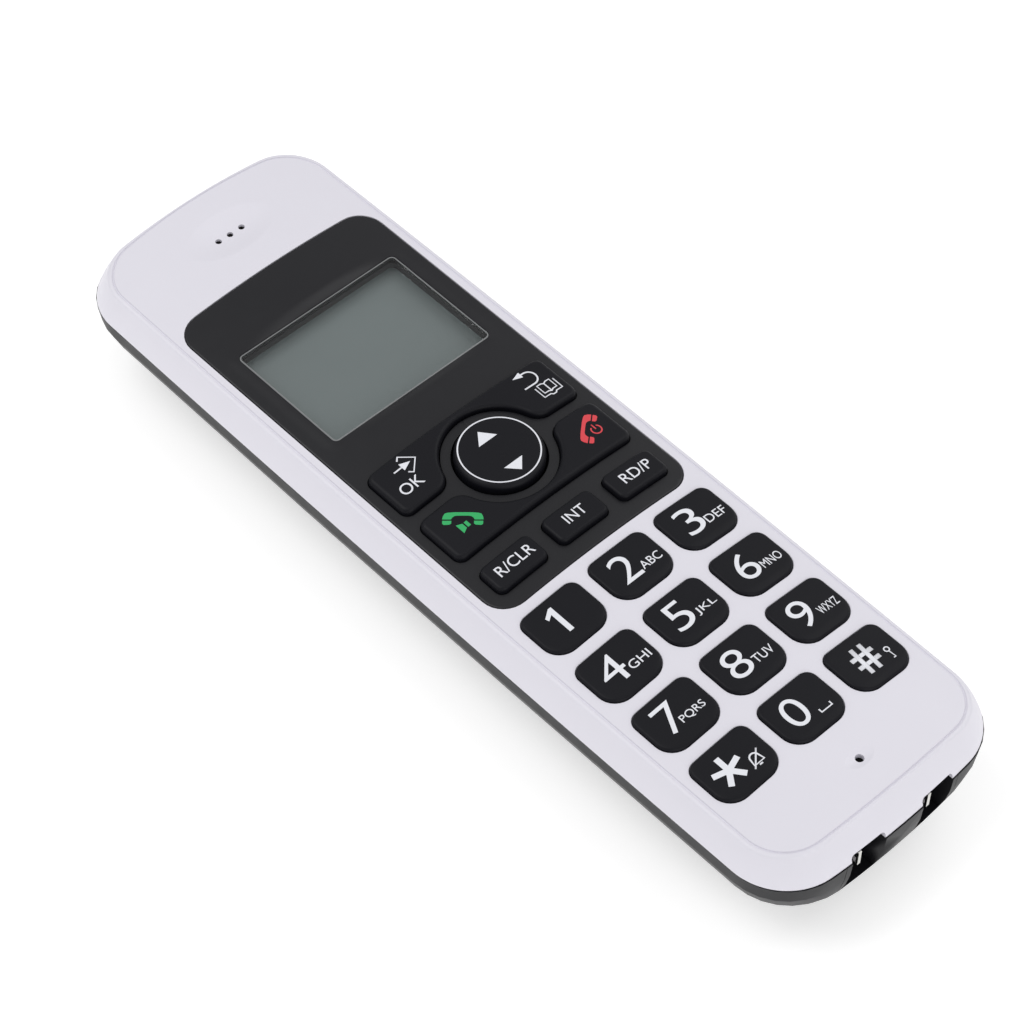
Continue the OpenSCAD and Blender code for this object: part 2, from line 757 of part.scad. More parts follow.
module main_board() {
    color(board_c) difference() {
        prism(board_z, board_top) translate([0, (board_y0 + board_y1) / 2])
            polygon(round_box(board_w, board_y1 - board_y0, 4, 8.5));
        at_screws(board_screw_x, board_screw_y) rod(board_z - 1, board_top + 1, screw_d + 0.4);
        at_screws(cover_screw_x, [cover_screw_y]) rod(board_z - 1, board_top + 1, screw_d + 0.6);
    }
}

module shield_can() {
    z0 = board_z - 2.4;
    color(steel_c) difference() {
        block(-13, 5, bay_y1 + 4, bay_y1 + 22, z0, board_z);
        block(-12.7, 4.7, bay_y1 + 4.3, bay_y1 + 21.7, z0 + 0.3, board_z + 1);
    }
}

module board_components() {
    under = bay_y1 + 4;
    color([0.15, 0.15, 0.16]) {
        block(-8, -1, under + 5, under + 12, board_z - 1, board_z);
        block(8, 14, under + 1, under + 8, board_z - 1.2, board_z);
        for (i = [0:2]) translate([10, under + 14 + 6.5 * i, 0]) rod(board_z - 4.5, board_z, 5);
        for (i = [0:5]) block(-14 + 2.6 * i, -12.4 + 2.6 * i, under + 21, under + 21.8,
            board_z - 0.5, board_z);
        block(-4, 4, under + 26, under + 29, board_z - 3, board_z);
    }
}

module antenna() {
    y = board_y1 - 1.6;
    color(steel_c) {
        block(-14, 14, y - 0.4, y, board_top + 0.8, board_top + 3.2);
        for (x = [-14, 4]) block(x, x + 1.2, y - 0.4, y, board_top, board_top + 0.8);
    }
}

module earpiece_receiver() {
    z0 = receiver_top - receiver_t;
    color([0.6, 0.6, 0.62]) translate([0, ear_y, 0]) {
        difference() {
            rod(z0, receiver_top, receiver_d - 0.6);
            rod(receiver_top - 0.6, receiver_top + 1, receiver_d - 5);
        }
        for (s = [-1, 1]) translate([s * 2.5, -receiver_d / 2 - 1, 0])
            block(-0.5, 0.5, 0, 1.6, z0, z0 + 0.3);
    }
}

module receiver_gasket() {
    color([0.08, 0.08, 0.09]) translate([0, ear_y, 0])
        ring(receiver_top, receiver_top + receiver_gasket_t, receiver_d - 1, receiver_d - 4);
}

module microphone() {
    color([0.75, 0.7, 0.5]) translate([0, mic_y, 0]) rod(board_top, board_top + mic_t, mic_d);
}

module microphone_boot() {
    color(rubber_c) translate([0, mic_y, 0])
        ring(board_top + mic_t, body_h - cover_wall - 0.05, mic_d, mic_hole_d + 0.4);
}

module ringer_speaker() {
    color([0.2, 0.2, 0.22]) translate([0, ringer_y, 0]) {
        rod(ringer_z, ringer_z + ringer_t - 1.4, ringer_d);
        rod(ringer_z + ringer_t - 1.4, ringer_z + ringer_t, ringer_d * 0.55);
    }
}

module speaker_gasket() {
    color([0.08, 0.08, 0.09]) translate([0, ringer_y, 0])
        ring(rear_wall, ringer_z, ringer_d - 0.4, ringer_d - 4);
}

module speaker_leads() {
    lead_d = 1;
    z = ringer_z + ringer_t - 1.4 + lead_d / 2 + 0.1;
    for (s = [-1, 1]) color(s > 0 ? "red" : "black") translate([s * 1.5, 0, 0]) {
        y0 = ringer_y + ringer_d * 0.275;
        y1 = y0 + 7;
        translate([0, y1, z]) rotate([90, 0, 0]) cylinder(d = lead_d, h = y1 - y0, $fn = 24);
        translate([0, y1, z]) sphere(d = lead_d, $fn = 24);
        translate([0, y1, z]) cylinder(d = lead_d, h = board_z - z, $fn = 24);
    }
}

// ---- Charging contacts and battery ----------------------------------------

module charge_contact(side) {
    x0 = side * slot_x - contact_shift - contact_w / 2;
    y0 = tail + 0.6;
    color(steel_c) {
        block(x0, x0 + contact_w, y0, board_y0 + 2, board_z - 0.4, board_z);
        block(x0, x0 + contact_w, y0, y0 + 0.4, board_z, part_z + slot_rise - 0.3);
    }
}

// Round cell lying along Y, its button towards way (+1 or -1) and its spring behind it
module battery_cell(x, way) {
    color([0.25, 0.5, 0.3]) translate([x, (bay_y0 + bay_y1 + way * (spring_l - button_l)) / 2, cell_z])
        rotate([-90 * way, 0, 0]) {
            translate([0, 0, -cell_l / 2]) cylinder(d = cell_d, h = cell_l, $fn = 64);
            translate([0, 0, cell_l / 2]) cylinder(d = 0.36 * cell_d, h = button_l, $fn = 32);
        }
}

// Coil spring pressed between y and y + way * spring_l, as rings on a spine
module cell_spring(x, y, way) {
    wire = 0.5;
    turns = 4;
    coil_r = 2.4;
    pitch = (spring_l - wire) / (turns - 1);
    translate([x, y + way * wire / 2, cell_z]) rotate([-90 * way, 0, 0]) {
        for (i = [0:turns - 1]) translate([0, 0, i * pitch])
            rotate_extrude($fn = 48) translate([coil_r, 0]) circle(d = wire, $fn = 16);
        translate([coil_r, 0, 0]) cylinder(d = 0.8 * wire, h = spring_l - wire, $fn = 16);
    }
}

module terminal_plate(x0, x1, y) {
    block(x0, x1, y, y + terminal_t, cell_z - 3.6, cell_z + 3.6);
}

module battery_terminal_positive() {
    color(steel_c) terminal_plate(cell_x - 3.6, cell_x + 3.6, bay_y1 - terminal_t);
}

module battery_terminal_negative() {
    y = bay_y1 - terminal_t;
    color(steel_c) {
        terminal_plate(-cell_x - 3.6, -cell_x + 3.6, y);
        cell_spring(-cell_x, y, -1);
    }
}

module battery_link_plate() {
    color(steel_c) {
        terminal_plate(-cell_x - 3.6, cell_x + 3.6, bay_y0);
        cell_spring(cell_x, bay_y0 + terminal_t, 1);
    }
}

// ---- Fasteners ------------------------------------------------------------

module cover_screws() {
    color(steel_c) at_screws(cover_screw_x, [cover_screw_y]) {
        rod(board_z - 2 - head_t, board_z - 2, head_d);
        rod(board_z - 2, board_top + 3.8, screw_d);
    }
}

module board_screws() {
    color(steel_c) at_screws(board_screw_x, board_screw_y) {
        rod(board_z - head_t, board_z, head_d);
        rod(board_z, board_top + 3.2, screw_d);
    }
}

front_cover();
rear_cover();
contact_holder();
battery_door();
fascia();
display_window();
window_gasket();
lcd_glass();
lcd_frame();
light_guide();
lcd_connector();
keypad_mat();
for (k = DIGITS) digit_key(k);
for (k = FUNCS) func_key(k);
for (k = STRIPS) strip_key(k);
nav_rocker();
snap_domes();
main_board();
shield_can();
board_components();
antenna();
earpiece_receiver();
receiver_gasket();
microphone();
microphone_boot();
ringer_speaker();
speaker_gasket();
speaker_leads();
charge_contact(-1);  // charge_contact_left
charge_contact(1);  // charge_contact_right
battery_cell(-cell_x, -1);  // battery_cell_left
battery_cell(cell_x, 1);  // battery_cell_right
battery_terminal_positive();
battery_terminal_negative();
battery_link_plate();
cover_screws();
board_screws();
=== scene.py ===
"""Visual model of a cordless telephone handset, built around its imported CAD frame.

Lengths in the classes are millimetres; meshes are written in metres, in the frame's own axes:
+X right of the face, +Y towards the earpiece, +Z out of the face.
"""
import json
import logging
import math
from collections.abc import Callable, Iterator
from contextlib import contextmanager
from dataclasses import dataclass, field
from enum import Enum

import bpy
import numpy as np
from mathutils import Matrix, Vector

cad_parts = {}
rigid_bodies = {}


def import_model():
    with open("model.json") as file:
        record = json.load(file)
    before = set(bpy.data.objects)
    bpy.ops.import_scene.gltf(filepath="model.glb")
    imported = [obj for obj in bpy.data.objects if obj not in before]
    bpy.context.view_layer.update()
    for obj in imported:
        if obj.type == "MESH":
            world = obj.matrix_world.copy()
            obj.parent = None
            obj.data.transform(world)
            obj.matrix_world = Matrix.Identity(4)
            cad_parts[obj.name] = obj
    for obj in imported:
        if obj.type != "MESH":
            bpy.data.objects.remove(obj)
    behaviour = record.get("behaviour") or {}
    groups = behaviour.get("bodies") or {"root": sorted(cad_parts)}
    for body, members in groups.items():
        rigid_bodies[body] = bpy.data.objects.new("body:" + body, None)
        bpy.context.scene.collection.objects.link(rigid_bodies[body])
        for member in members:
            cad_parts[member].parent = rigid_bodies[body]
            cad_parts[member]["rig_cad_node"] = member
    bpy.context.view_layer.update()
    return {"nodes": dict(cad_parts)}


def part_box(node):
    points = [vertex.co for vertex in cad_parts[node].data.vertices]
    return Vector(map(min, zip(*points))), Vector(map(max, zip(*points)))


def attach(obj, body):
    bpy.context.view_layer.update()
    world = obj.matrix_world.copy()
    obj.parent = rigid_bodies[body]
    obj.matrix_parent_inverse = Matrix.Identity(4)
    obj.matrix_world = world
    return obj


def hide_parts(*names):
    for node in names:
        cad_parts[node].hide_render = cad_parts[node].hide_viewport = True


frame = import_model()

MM = 0.001
HANDSET = "handset"
log = logging.getLogger("handset")

Colour = tuple[float, float, float]
Place = tuple[float, float]
Points = np.ndarray
OutlineAt = Callable[[float], Points]
Piece = bpy.types.Object
Tree = bpy.types.NodeTree
Node = bpy.types.Node
Socket = bpy.types.NodeSocket


# ---- Bench: selecting, modelling and finishing ------------------------------


def box_mm(node: str) -> tuple[Points, Points]:
    """Corners of a CAD node.

    Args:
        node: Name of the CAD node.

    Returns:
        Lowest and highest corner, in millimetres.
    """
    low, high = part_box(node)
    return np.array(low) / MM, np.array(high) / MM


def plan_of(node: str) -> tuple[Points, Points]:
    """Size and middle of a CAD node in plan, in millimetres."""
    low, high = box_mm(node)
    return (high - low)[:2], ((high + low) / 2)[:2]


def deselect() -> None:
    """Leave edit mode and select nothing."""
    if bpy.context.mode != "OBJECT":
        bpy.ops.object.mode_set(mode="OBJECT")
    bpy.ops.object.select_all(action="DESELECT")


def pick(*objects: Piece) -> Piece:
    """Select some objects and make the first the active one.

    Args:
        objects: Objects to select.

    Returns:
        The active object.
    """
    deselect()
    for obj in objects:
        obj.select_set(True)
    bpy.context.view_layer.objects.active = objects[0]
    return objects[0]


@contextmanager
def editing(obj: Piece) -> Iterator[None]:
    """Hold an object in edit mode, with everything in it selected.

    Args:
        obj: Object to edit.

    Yields:
        Nothing.
    """
    pick(obj)
    bpy.ops.object.mode_set(mode="EDIT")
    bpy.ops.mesh.select_all(action="SELECT")
    yield
    bpy.ops.object.mode_set(mode="OBJECT")


def coords(obj: Piece) -> Points:
    """Vertex places of an object.

    Args:
        obj: A mesh object.

    Returns:
        Its places, in millimetres.
    """
    flat = np.empty(len(obj.data.vertices) * 3, np.float32)
    obj.data.vertices.foreach_get("co", flat)
    return flat.reshape(-1, 3).astype(float) / MM


def set_coords(obj: Piece, places: Points) -> None:
    """Write vertex places given in millimetres."""
    obj.data.vertices.foreach_set("co", (places * MM).astype(np.float32).ravel())
    obj.data.update()


def tidy_shell(obj: Piece, gap: float = 0.0005) -> None:
    """Merge doubles, close open rims and turn the faces outwards.

    Args:
        obj: The shell.
        gap: Distance under which points are merged, in millimetres.
    """
    with editing(obj):
        bpy.ops.mesh.remove_doubles(threshold=gap * MM)
        bpy.ops.mesh.fill_holes(sides=0)
        bpy.ops.mesh.select_all(action="SELECT")
        bpy.ops.mesh.normals_make_consistent(inside=False)


def loft(name: str, rings: list[Points]) -> Piece:
    """Skin closed rings into a capped solid.

    Args:
        name: Name of the new object.
        rings: Rings of equal point count, in millimetres, in order.

    Returns:
        The new object.
    """
    deselect()
    across, along = len(rings[0]), len(rings) - 1
    bpy.ops.mesh.primitive_grid_add(x_subdivisions=across, y_subdivisions=along, size=1)
    obj = bpy.context.object
    obj.name = obj.data.name = name
    set_coords(obj, np.vstack([np.vstack([ring, ring[:1]]) for ring in rings]))
    tidy_shell(obj)
    return obj


def prism(outline: Points, low: float, high: float, name: str = "cutter") -> Piece:
    """Upright solid on an outline, a cutter unless it is named otherwise."""
    return loft(name, [at_height(outline, low), at_height(outline, high)])


def cut(obj: Piece, *cutters: Piece) -> None:
    """Take closed solids away from a piece, and remove them.

    Args:
        obj: The piece that is cut.
        cutters: Closed solids.
    """
    for cutter in cutters:
        pick(obj)
        modifier = obj.modifiers.new("cut", "BOOLEAN")
        modifier.operation, modifier.solver, modifier.object = "DIFFERENCE", "MANIFOLD", cutter
        bpy.ops.object.modifier_apply(modifier=modifier.name)
        bpy.data.objects.remove(cutter)


def join(name: str, *objects: Piece) -> Piece:
    """Join objects into the first one.

    Args:
        name: New name of the joined object.
        objects: Objects to join.

    Returns:
        The joined object.
    """
    obj = pick(*objects)
    if len(objects) > 1:
        bpy.ops.object.join()
    obj.name = obj.data.name = name
    return obj


def slice_across(obj: Piece, step: float) -> None:
    """Cut an object's faces at planes of constant x, so that it can follow the crown.

    Args:
        obj: The piece.
        step: Distance between the planes, in millimetres.
    """
    across = coords(obj)[:, 0]
    left, right, margin = across.min(), across.max(), 0.02
    with editing(obj):
        for x in np.arange(math.ceil(left / step) * step, right, step):
            if min(abs(left - x), abs(right - x)) < margin:
                continue
            bpy.ops.mesh.select_all(action="SELECT")
            bpy.ops.mesh.bisect(plane_co=(x * MM, 0, 0), plane_no=(1, 0, 0))


def soften(obj: Piece, angle: float = 35.0) -> None:
    """Shade a piece smooth up to an angle, while large faces keep their own direction.

    Args:
        obj: The piece.
        angle: Largest angle that stays smooth, in degrees.
    """
    pick(obj)
    bpy.ops.object.shade_smooth_by_angle(angle=math.radians(angle))
    modifier = obj.modifiers.new("weights", "WEIGHTED_NORMAL")
    modifier.keep_sharp = True
    bpy.ops.object.modifier_apply(modifier=modifier.name)


def round_edges(obj: Piece, width: float, angle: float = 40.0) -> None:
    """Round a piece's sharp edges.

    Args:
        obj: The piece.
        width: Width of the rounding, in millimetres.
        angle: Smallest edge angle that is rounded, in degrees.
    """
    pick(obj)
    modifier = obj.modifiers.new("edges", "BEVEL")
    modifier.width, modifier.segments = width * MM, 2
    modifier.limit_method, modifier.angle_limit = "ANGLE", math.radians(angle)
    bpy.ops.object.modifier_apply(modifier=modifier.name)


def smooth_copy(node: str, name: str) -> Piece:
    """Merged copy of a CAD node, its flat faces joined up.

    Args:
        node: CAD node to copy.
        name: Name of the copy.

    Returns:
        The copy, on no body yet.
    """
    source = frame["nodes"][node]
    obj = bpy.data.objects.new(name, source.data.copy())
    bpy.context.scene.collection.objects.link(obj)
    obj.data.name = name
    obj.data.materials.clear()
    with editing(obj):
        bpy.ops.mesh.remove_doubles(threshold=0.0005 * MM)
        bpy.ops.mesh.dissolve_limited(angle_limit=math.radians(0.4))
    return obj


# ---- Plan outlines ----------------------------------------------------------


def arc(centre: Place, radius: float, start: float, end: float, steps: int) -> Points:
    """Points on an arc.

    Args:
        centre: Middle of the circle.
        radius: Radius.
        start: First angle, in degrees.
        end: Last angle, in degrees.
        steps: Number of steps between them.

    Returns:
        steps + 1 points in the plane.
    """
    a = np.radians(np.linspace(start, end, steps + 1))
    return np.array(centre) + radius * np.stack([np.cos(a), np.sin(a)], 1)


def rounded_box(width: float, height: float, top_r: float, bottom_r: float,
                grow: float = 0.0, centre: Place = (0, 0), steps: int = 8) -> Points:
    """Rectangle with rounded corners.

    Args:
        width: Width before it is grown.
        height: Height before it is grown.
        top_r: Radius of the two upper corners.
        bottom_r: Radius of the two lower corners.
        grow: Offset outwards.
        centre: Middle of the rectangle.
        steps: Steps of each corner.

    Returns:
        The closed outline.
    """
    x, y = width / 2, height / 2
    corners = [((x - top_r, y - top_r), top_r, 0), ((top_r - x, y - top_r), top_r, 90),
               ((bottom_r - x, bottom_r - y), bottom_r, 180), ((x - bottom_r, bottom_r - y), bottom_r, 270)]
    parts = [arc(c, r + grow, a, a + 90, steps) for c, r, a in corners]
    return np.vstack(parts) + np.array(centre)


def circle(radius: float, centre: Place = (0, 0), steps: int = 96) -> Points:
    """A full circle as a closed outline."""
    return arc(centre, radius, 0, 360, steps)[:-1]


def oval(across: float, along: float, y: float, steps: int, share: float = 1.0) -> Points:
    """Ellipse on the middle line, at a share of its size, as a closed outline."""
    return circle(share, steps=steps) * (across, along) + (0, y)


def quarter_round(radius: float, steps: int) -> list[Place]:
    """Inset and sink of each step round a quarter of a circle.

    Args:
        radius: Radius of the rounding.
        steps: Number of steps.

    Returns:
        Inset and sink of each step, the last one on the face.
    """
    turns = [math.radians(90 * (step + 1) / steps) for step in range(steps)]
    return [(radius * (1 - math.cos(a)), radius * (1 - math.sin(a))) for a in turns]


def split_sides(outline: Points, parts: int = 16, shortest: float = 5.0) -> Points:
    """Divide the long straight sides of an outline, so that it can follow the crown.

    Args:
        outline: Plan points in order.
        parts: Number of pieces of each long side.
        shortest: Length from which a side is divided.

    Returns:
        The plan points with the new ones between them.
    """
    places = []
    for start, end in zip(outline, np.roll(outline, -1, axis=0)):
        count = parts if np.hypot(*(end - start)) > shortest else 1
        places += [start + (end - start) * index / count for index in range(count)]
    return np.array(places)


def at_height(outline: Points, z: float | Points) -> Points:
    """Outline lifted to a height, or to one height for each point."""
    return np.column_stack([outline, np.broadcast_to(z, len(outline))])


@dataclass(frozen=True)
class Form:
    """Outer form that the covers, the fascia plate and the keys share."""

    part_z: float
    face_z: float
    width: float
    length: float
    corner_r: float = 10.4
    side_bow: float = 5600.0
    end_bow: float = 166.0
    crown_r: float = 163.0
    side_draft: float = 24.5
    edge_roll: float = 0.1
    slice_step: float = 0.9

    @classmethod
    def from_frame(cls) -> "Form":
        """Read the form's heights and size from the CAD nodes.

        Returns:
            The form.
        """
        low, high = box_mm("rear_cover")
        return cls(part_z=high[2], face_z=box_mm("fascia")[1][2],
                   width=high[0] - low[0], length=high[1] - low[1])

    def outline(self, side: float, end: float) -> Points:
        """Body outline set in from the parting line.

        Args:
            side: Inset at the sides.
            end: Inset at the ends.

        Returns:
            The closed outline.
        """
        half_w, half_l, r = self.width / 2 - side, self.length / 2 - end, self.corner_r - side
        cs, ce = np.array([half_w - self.side_bow, 0]), np.array([0, half_l - self.end_bow])
        rp, rq = self.side_bow - r, self.end_bow - r
        gap = ce - cs
        reach = np.linalg.norm(gap)
        u = gap / reach
        a = (rp * rp - rq * rq + reach * reach) / (2 * reach)
        c = cs + a * u + math.sqrt(rp * rp - a * a) * np.array([-u[1], u[0]])
        a_side = math.degrees(math.atan2(c[1] - cs[1], c[0] - cs[0]))
        a_end = math.degrees(math.atan2(c[1] - ce[1], c[0] - ce[0]))
        quarter = np.vstack([arc(cs, self.side_bow, 0, a_side, 6)[:-1], arc(c, r, a_side, a_end, 24)[:-1],
                             arc(ce, self.end_bow, a_end, 90, 12)])
        flip = np.array([-1, 1])
        mirrored = (quarter * flip)[::-1]
        return np.vstack([quarter[:-1], mirrored[:-1], -quarter[:-1], -mirrored[:-1]])

    def drop(self, x: Points) -> Points:
        """How far the crowned face lies under its middle at a place across."""
        return self.crown_r - np.sqrt(self.crown_r ** 2 - np.square(x))

    def bend(self, obj: Piece, low: float | None = None) -> None:
        """Bend a piece built flat so that it follows the crown.

        Args:
            obj: The piece.
            low: Height up to which nothing moves; the parting line by default.
        """
        slice_across(obj, self.slice_step)
        low = self.part_z if low is None else low
        places = coords(obj)
        share = np.clip((places[:, 2] - low) / (self.face_z - low), 0, None)
        places[:, 2] -= self.drop(places[:, 0]) * np.minimum(share, 1)
        set_coords(obj, places)

    def unbend(self, ring: Points) -> Points:
        """Place of a ring before bend() moves it.

        Args:
            ring: Ring in its final place.

        Returns:
            The same ring over a flat face.
        """
        out = ring.copy()
        scale = 1 - self.drop(ring[:, 0]) / (self.face_z - self.part_z)
        above = ring[:, 2] > self.part_z
        out[above, 2] = self.part_z + (ring[above, 2] - self.part_z) / scale[above]
        return out


FORM = Form.from_frame()


# ---- Finishes ---------------------------------------------------------------


class Grain(Enum):
    """Kinds of surface texture."""

    MOULDED = "moulded"
    BRUSHED = "brushed"
    FOAM = "foam"
    PLAIN = "plain"


@dataclass(frozen=True)
class Finish:
    """A procedural finish: base colour with slight tone changes, and a fine surface grain."""

    name: str
    colour: Colour
    roughness: float = 0.5
    metallic: float = 0.0
    grain: Grain = Grain.MOULDED
    grain_size: float = 0.22
    grain_depth: float = 0.012
    tone: float = 0.06
    tone_size: float = 9.0
    coat: float = 0.0
    specular: float = 0.5
    glow: float = 0.0
    slot: str = ""

    def material(self) -> bpy.types.Material:
        """Blender material of this finish, made once.

        Returns:
            The material.
        """
        made = bpy.data.materials.get(self.name)
        if made is None:
            made = bpy.data.materials.new(self.name)
            made.use_nodes = True
            self.build(made.node_tree, made.node_tree.nodes["Principled BSDF"])
        return made

    def build(self, tree: Tree, shader: Node) -> None:
        """Lay out the nodes.

        Args:
            tree: The material's node tree.
            shader: Its principled shader.
        """
        fixed = {"Metallic": self.metallic, "Coat Weight": self.coat, "Coat Roughness": 0.12,
                 "Specular IOR Level": self.specular, "Emission Color": (1, 1, 1, 1),
                 "Emission Strength": self.glow}
        for name, value in fixed.items():
            shader.inputs[name].default_value = value
        place = tree.nodes.new("ShaderNodeTexCoord").outputs["Object"]
        cloud = self.noise(tree, place, self.tone_size, 3.0)
        dull, bright = self.shade(1 - self.tone), self.shade(1 + self.tone)
        self.blend(tree, cloud, dull, bright, shader.inputs["Base Color"])
        low, high = max(self.roughness - 0.05, 0.02), min(self.roughness + 0.05, 1.0)
        spread = tree.nodes.new("ShaderNodeMapRange")
        spread.inputs["To Min"].default_value, spread.inputs["To Max"].default_value = low, high
        tree.links.new(self.noise(tree, place, self.tone_size / 3, 2.0), spread.inputs["Value"])
        tree.links.new(spread.outputs["Result"], shader.inputs["Roughness"])
        if self.grain is not Grain.PLAIN:
            self.roughen(tree, place, shader)

    def shade(self, factor: float) -> tuple[float, float, float, float]:
        """Base colour made lighter or darker by a factor."""
        return tuple(min(c * factor, 1.0) for c in self.colour) + (1.0,)

    def noise(self, tree: Tree, place: Socket, size: float,
              detail: float) -> Socket:
        """Noise with features of a given size.

        Args:
            tree: The material's node tree.
            place: Socket that gives the place.
            size: Size of the features, in millimetres.
            detail: Detail of the noise.

        Returns:
            The socket that carries its value.
        """
        node = tree.nodes.new("ShaderNodeTexNoise")
        node.inputs["Scale"].default_value = 1 / (size * MM)
        node.inputs["Detail"].default_value = detail
        tree.links.new(place, node.inputs["Vector"])
        return node.outputs["Fac"]

    def blend(self, tree: Tree, share: Socket, low: tuple, high: tuple,
              target: Socket) -> None:
        """Blend two colours into a socket.

        Args:
            tree: The material's node tree.
            share: Socket that says how much of the second colour.
            low: First colour.
            high: Second colour.
            target: Socket that takes the blend.
        """
        mix = tree.nodes.new("ShaderNodeMix")
        mix.data_type = "RGBA"
        mix.inputs["A"].default_value, mix.inputs["B"].default_value = low, high
        tree.links.new(share, mix.inputs["Factor"])
        tree.links.new(mix.outputs["Result"], target)

    def roughen(self, tree: Tree, place: Socket, shader: Node) -> None:
        """Add the surface grain as a bump.

        Args:
            tree: The material's node tree.
            place: Socket that gives the place.
            shader: The shader that takes the bump.
        """
        if self.grain is Grain.BRUSHED:
            mapping = tree.nodes.new("ShaderNodeMapping")
            mapping.inputs["Scale"].default_value = (1.0, 0.05, 1.0)
            tree.links.new(place, mapping.inputs["Vector"])
            place = mapping.outputs["Vector"]
        size = self.grain_size * (3 if self.grain is Grain.FOAM else 1)
        bump = tree.nodes.new("ShaderNodeBump")
        bump.inputs["Strength"].default_value = 0.6
        bump.inputs["Distance"].default_value = self.grain_depth * MM
        tree.links.new(self.noise(tree, place, size, 4.0), bump.inputs["Height"])
        tree.links.new(bump.outputs["Normal"], shader.inputs["Normal"])


@dataclass(frozen=True)
class ClearFinish(Finish):
    """Clear lens: what lies under it shows, with a gloss on top."""

    def build(self, tree: Tree, shader: Node) -> None:
        """Lay out a see-through body under a thin gloss.

        Args:
            tree: The material's node tree.
            shader: Its principled shader.
        """
        nodes, links = tree.nodes, tree.links
        through = nodes.new("ShaderNodeBsdfTransparent")
        place = nodes.new("ShaderNodeTexCoord").outputs["Object"]
        haze = self.noise(tree, place, self.tone_size, 2.0)
        self.blend(tree, haze, self.shade(1 - self.tone), self.shade(1.0), through.inputs["Color"])
        gloss = nodes.new("ShaderNodeBsdfGlossy")
        gloss.inputs["Roughness"].default_value = self.roughness
        mix = nodes.new("ShaderNodeMixShader")
        mix.inputs["Fac"].default_value = self.specular
        links.new(through.outputs["BSDF"], mix.inputs[1])
        links.new(gloss.outputs["BSDF"], mix.inputs[2])
        links.new(mix.outputs["Shader"], nodes["Material Output"].inputs["Surface"])
        nodes.remove(shader)


@dataclass(frozen=True)
class BoardFinish(Finish):
    """Solder-masked board with a faint pattern of tracks."""

    track: Colour = (0.05, 0.30, 0.13)

    def build(self, tree: Tree, shader: Node) -> None:
        """Lay out the mask and the tracks under it.

        Args:
            tree: The material's node tree.
            shader: Its principled shader.
        """
        super().build(tree, shader)
        place = tree.nodes.new("ShaderNodeTexCoord").outputs["Object"]
        cells = tree.nodes.new("ShaderNodeTexBrick")
        cells.inputs["Scale"].default_value = 1 / (6 * MM)
        cells.inputs["Mortar Size"].default_value = 0.035
        cells.inputs["Color1"].default_value = self.shade(1.0)
        cells.inputs["Color2"].default_value = self.shade(0.9)
        cells.inputs["Mortar"].default_value = self.track + (1.0,)
        tree.links.new(place, cells.inputs["Vector"])
        tree.links.new(cells.outputs["Color"], shader.inputs["Base Color"])


@dataclass(frozen=True)
class SleeveFinish(Finish):
    """Shrink sleeve of a cell, with a pale band near one end."""

    band: Colour = (0.75, 0.78, 0.74)
    band_from: float = 0.0
    band_to: float = 0.0

    def build(self, tree: Tree, shader: Node) -> None:
        """Lay out the sleeve and its band along Y.

        Args:
            tree: The material's node tree.
            shader: Its principled shader.
        """
        super().build(tree, shader)
        nodes, links = tree.nodes, tree.links
        split = nodes.new("ShaderNodeSeparateXYZ")
        links.new(nodes.new("ShaderNodeTexCoord").outputs["Object"], split.inputs["Vector"])
        inside = nodes.new("ShaderNodeMath")
        inside.operation = "COMPARE"
        inside.inputs[1].default_value = (self.band_from + self.band_to) / 2 * MM
        inside.inputs[2].default_value = (self.band_to - self.band_from) / 2 * MM
        links.new(split.outputs["Y"], inside.inputs[0])
        pale = self.band + (1.0,)
        self.blend(tree, inside.outputs["Value"], self.shade(1.0), pale, shader.inputs["Base Color"])


WHITE = Finish("white_shell", (0.735, 0.72, 0.785), 0.42, grain_size=0.16, grain_depth=0.004, tone=0.012,
               slot="cover_white")
DARK_SHELL = Finish("dark_shell", (0.010, 0.010, 0.012), 0.42, grain_size=0.25, grain_depth=0.012, tone=0.1,
                    specular=0.17, slot="rear_dark")
FASCIA = Finish("fascia_plate", (0.010, 0.010, 0.0125), 0.36, grain_size=0.2, grain_depth=0.008, tone=0.06,
                specular=0.35, slot="fascia_dark")
RUBBER = Finish("key_rubber", (0.0040, 0.0041, 0.0068), 0.5, grain_size=0.18, grain_depth=0.014, tone=0.08,
                specular=0.2, slot="rubber_dark")
MAT = Finish("keypad_silicone", (0.03, 0.03, 0.034), 0.6, grain_depth=0.01, slot="silicone_sheet")
LENS = ClearFinish("clear_lens", (0.97, 0.975, 0.975), 0.04, tone=0.02, grain=Grain.PLAIN, specular=0.05,
                   slot="clear_window")
# Opaque grey on the clear lens's bevel: painted highlight, the thin light line along the window edge.
LENS_EDGE_GLINT = Finish("lens_edge", (0.20, 0.205, 0.21), 0.3, grain_depth=0.003, slot="clear_window")
GASKET = Finish("lens_gasket", (0.045, 0.045, 0.048), 0.8, grain=Grain.FOAM, grain_depth=0.03, slot="foam")
# Near-black cloth behind the sound holes: painted shade deep in the holes, and a dust mesh as well.
HOLE_SHADE_CLOTH = Finish("dust_cloth", (0.006, 0.006, 0.006), 0.95, grain_depth=0.03, specular=0.1, slot="foam")
LCD = Finish("lcd_panel", (0.21, 0.225, 0.24), 0.25, grain=Grain.PLAIN, tone=0.03, tone_size=18, coat=0.3,
             slot="lcd_panel")
FRAME_WHITE = Finish("panel_frame", (0.70, 0.70, 0.70), 0.55, slot="frame_white")
GUIDE = Finish("light_guide", (0.70, 0.82, 0.74), 0.2, grain_depth=0.004, slot="light_guide")
FOAM = Finish("black_foam", (0.012, 0.012, 0.012), 0.9, grain=Grain.FOAM, grain_depth=0.05, slot="foam")
STEEL = Finish("plated_steel", (0.66, 0.65, 0.62), 0.24, metallic=1.0, grain=Grain.BRUSHED, slot="steel")
COMPONENT = Finish("component_black", (0.02, 0.02, 0.021), 0.5, slot="component_black")
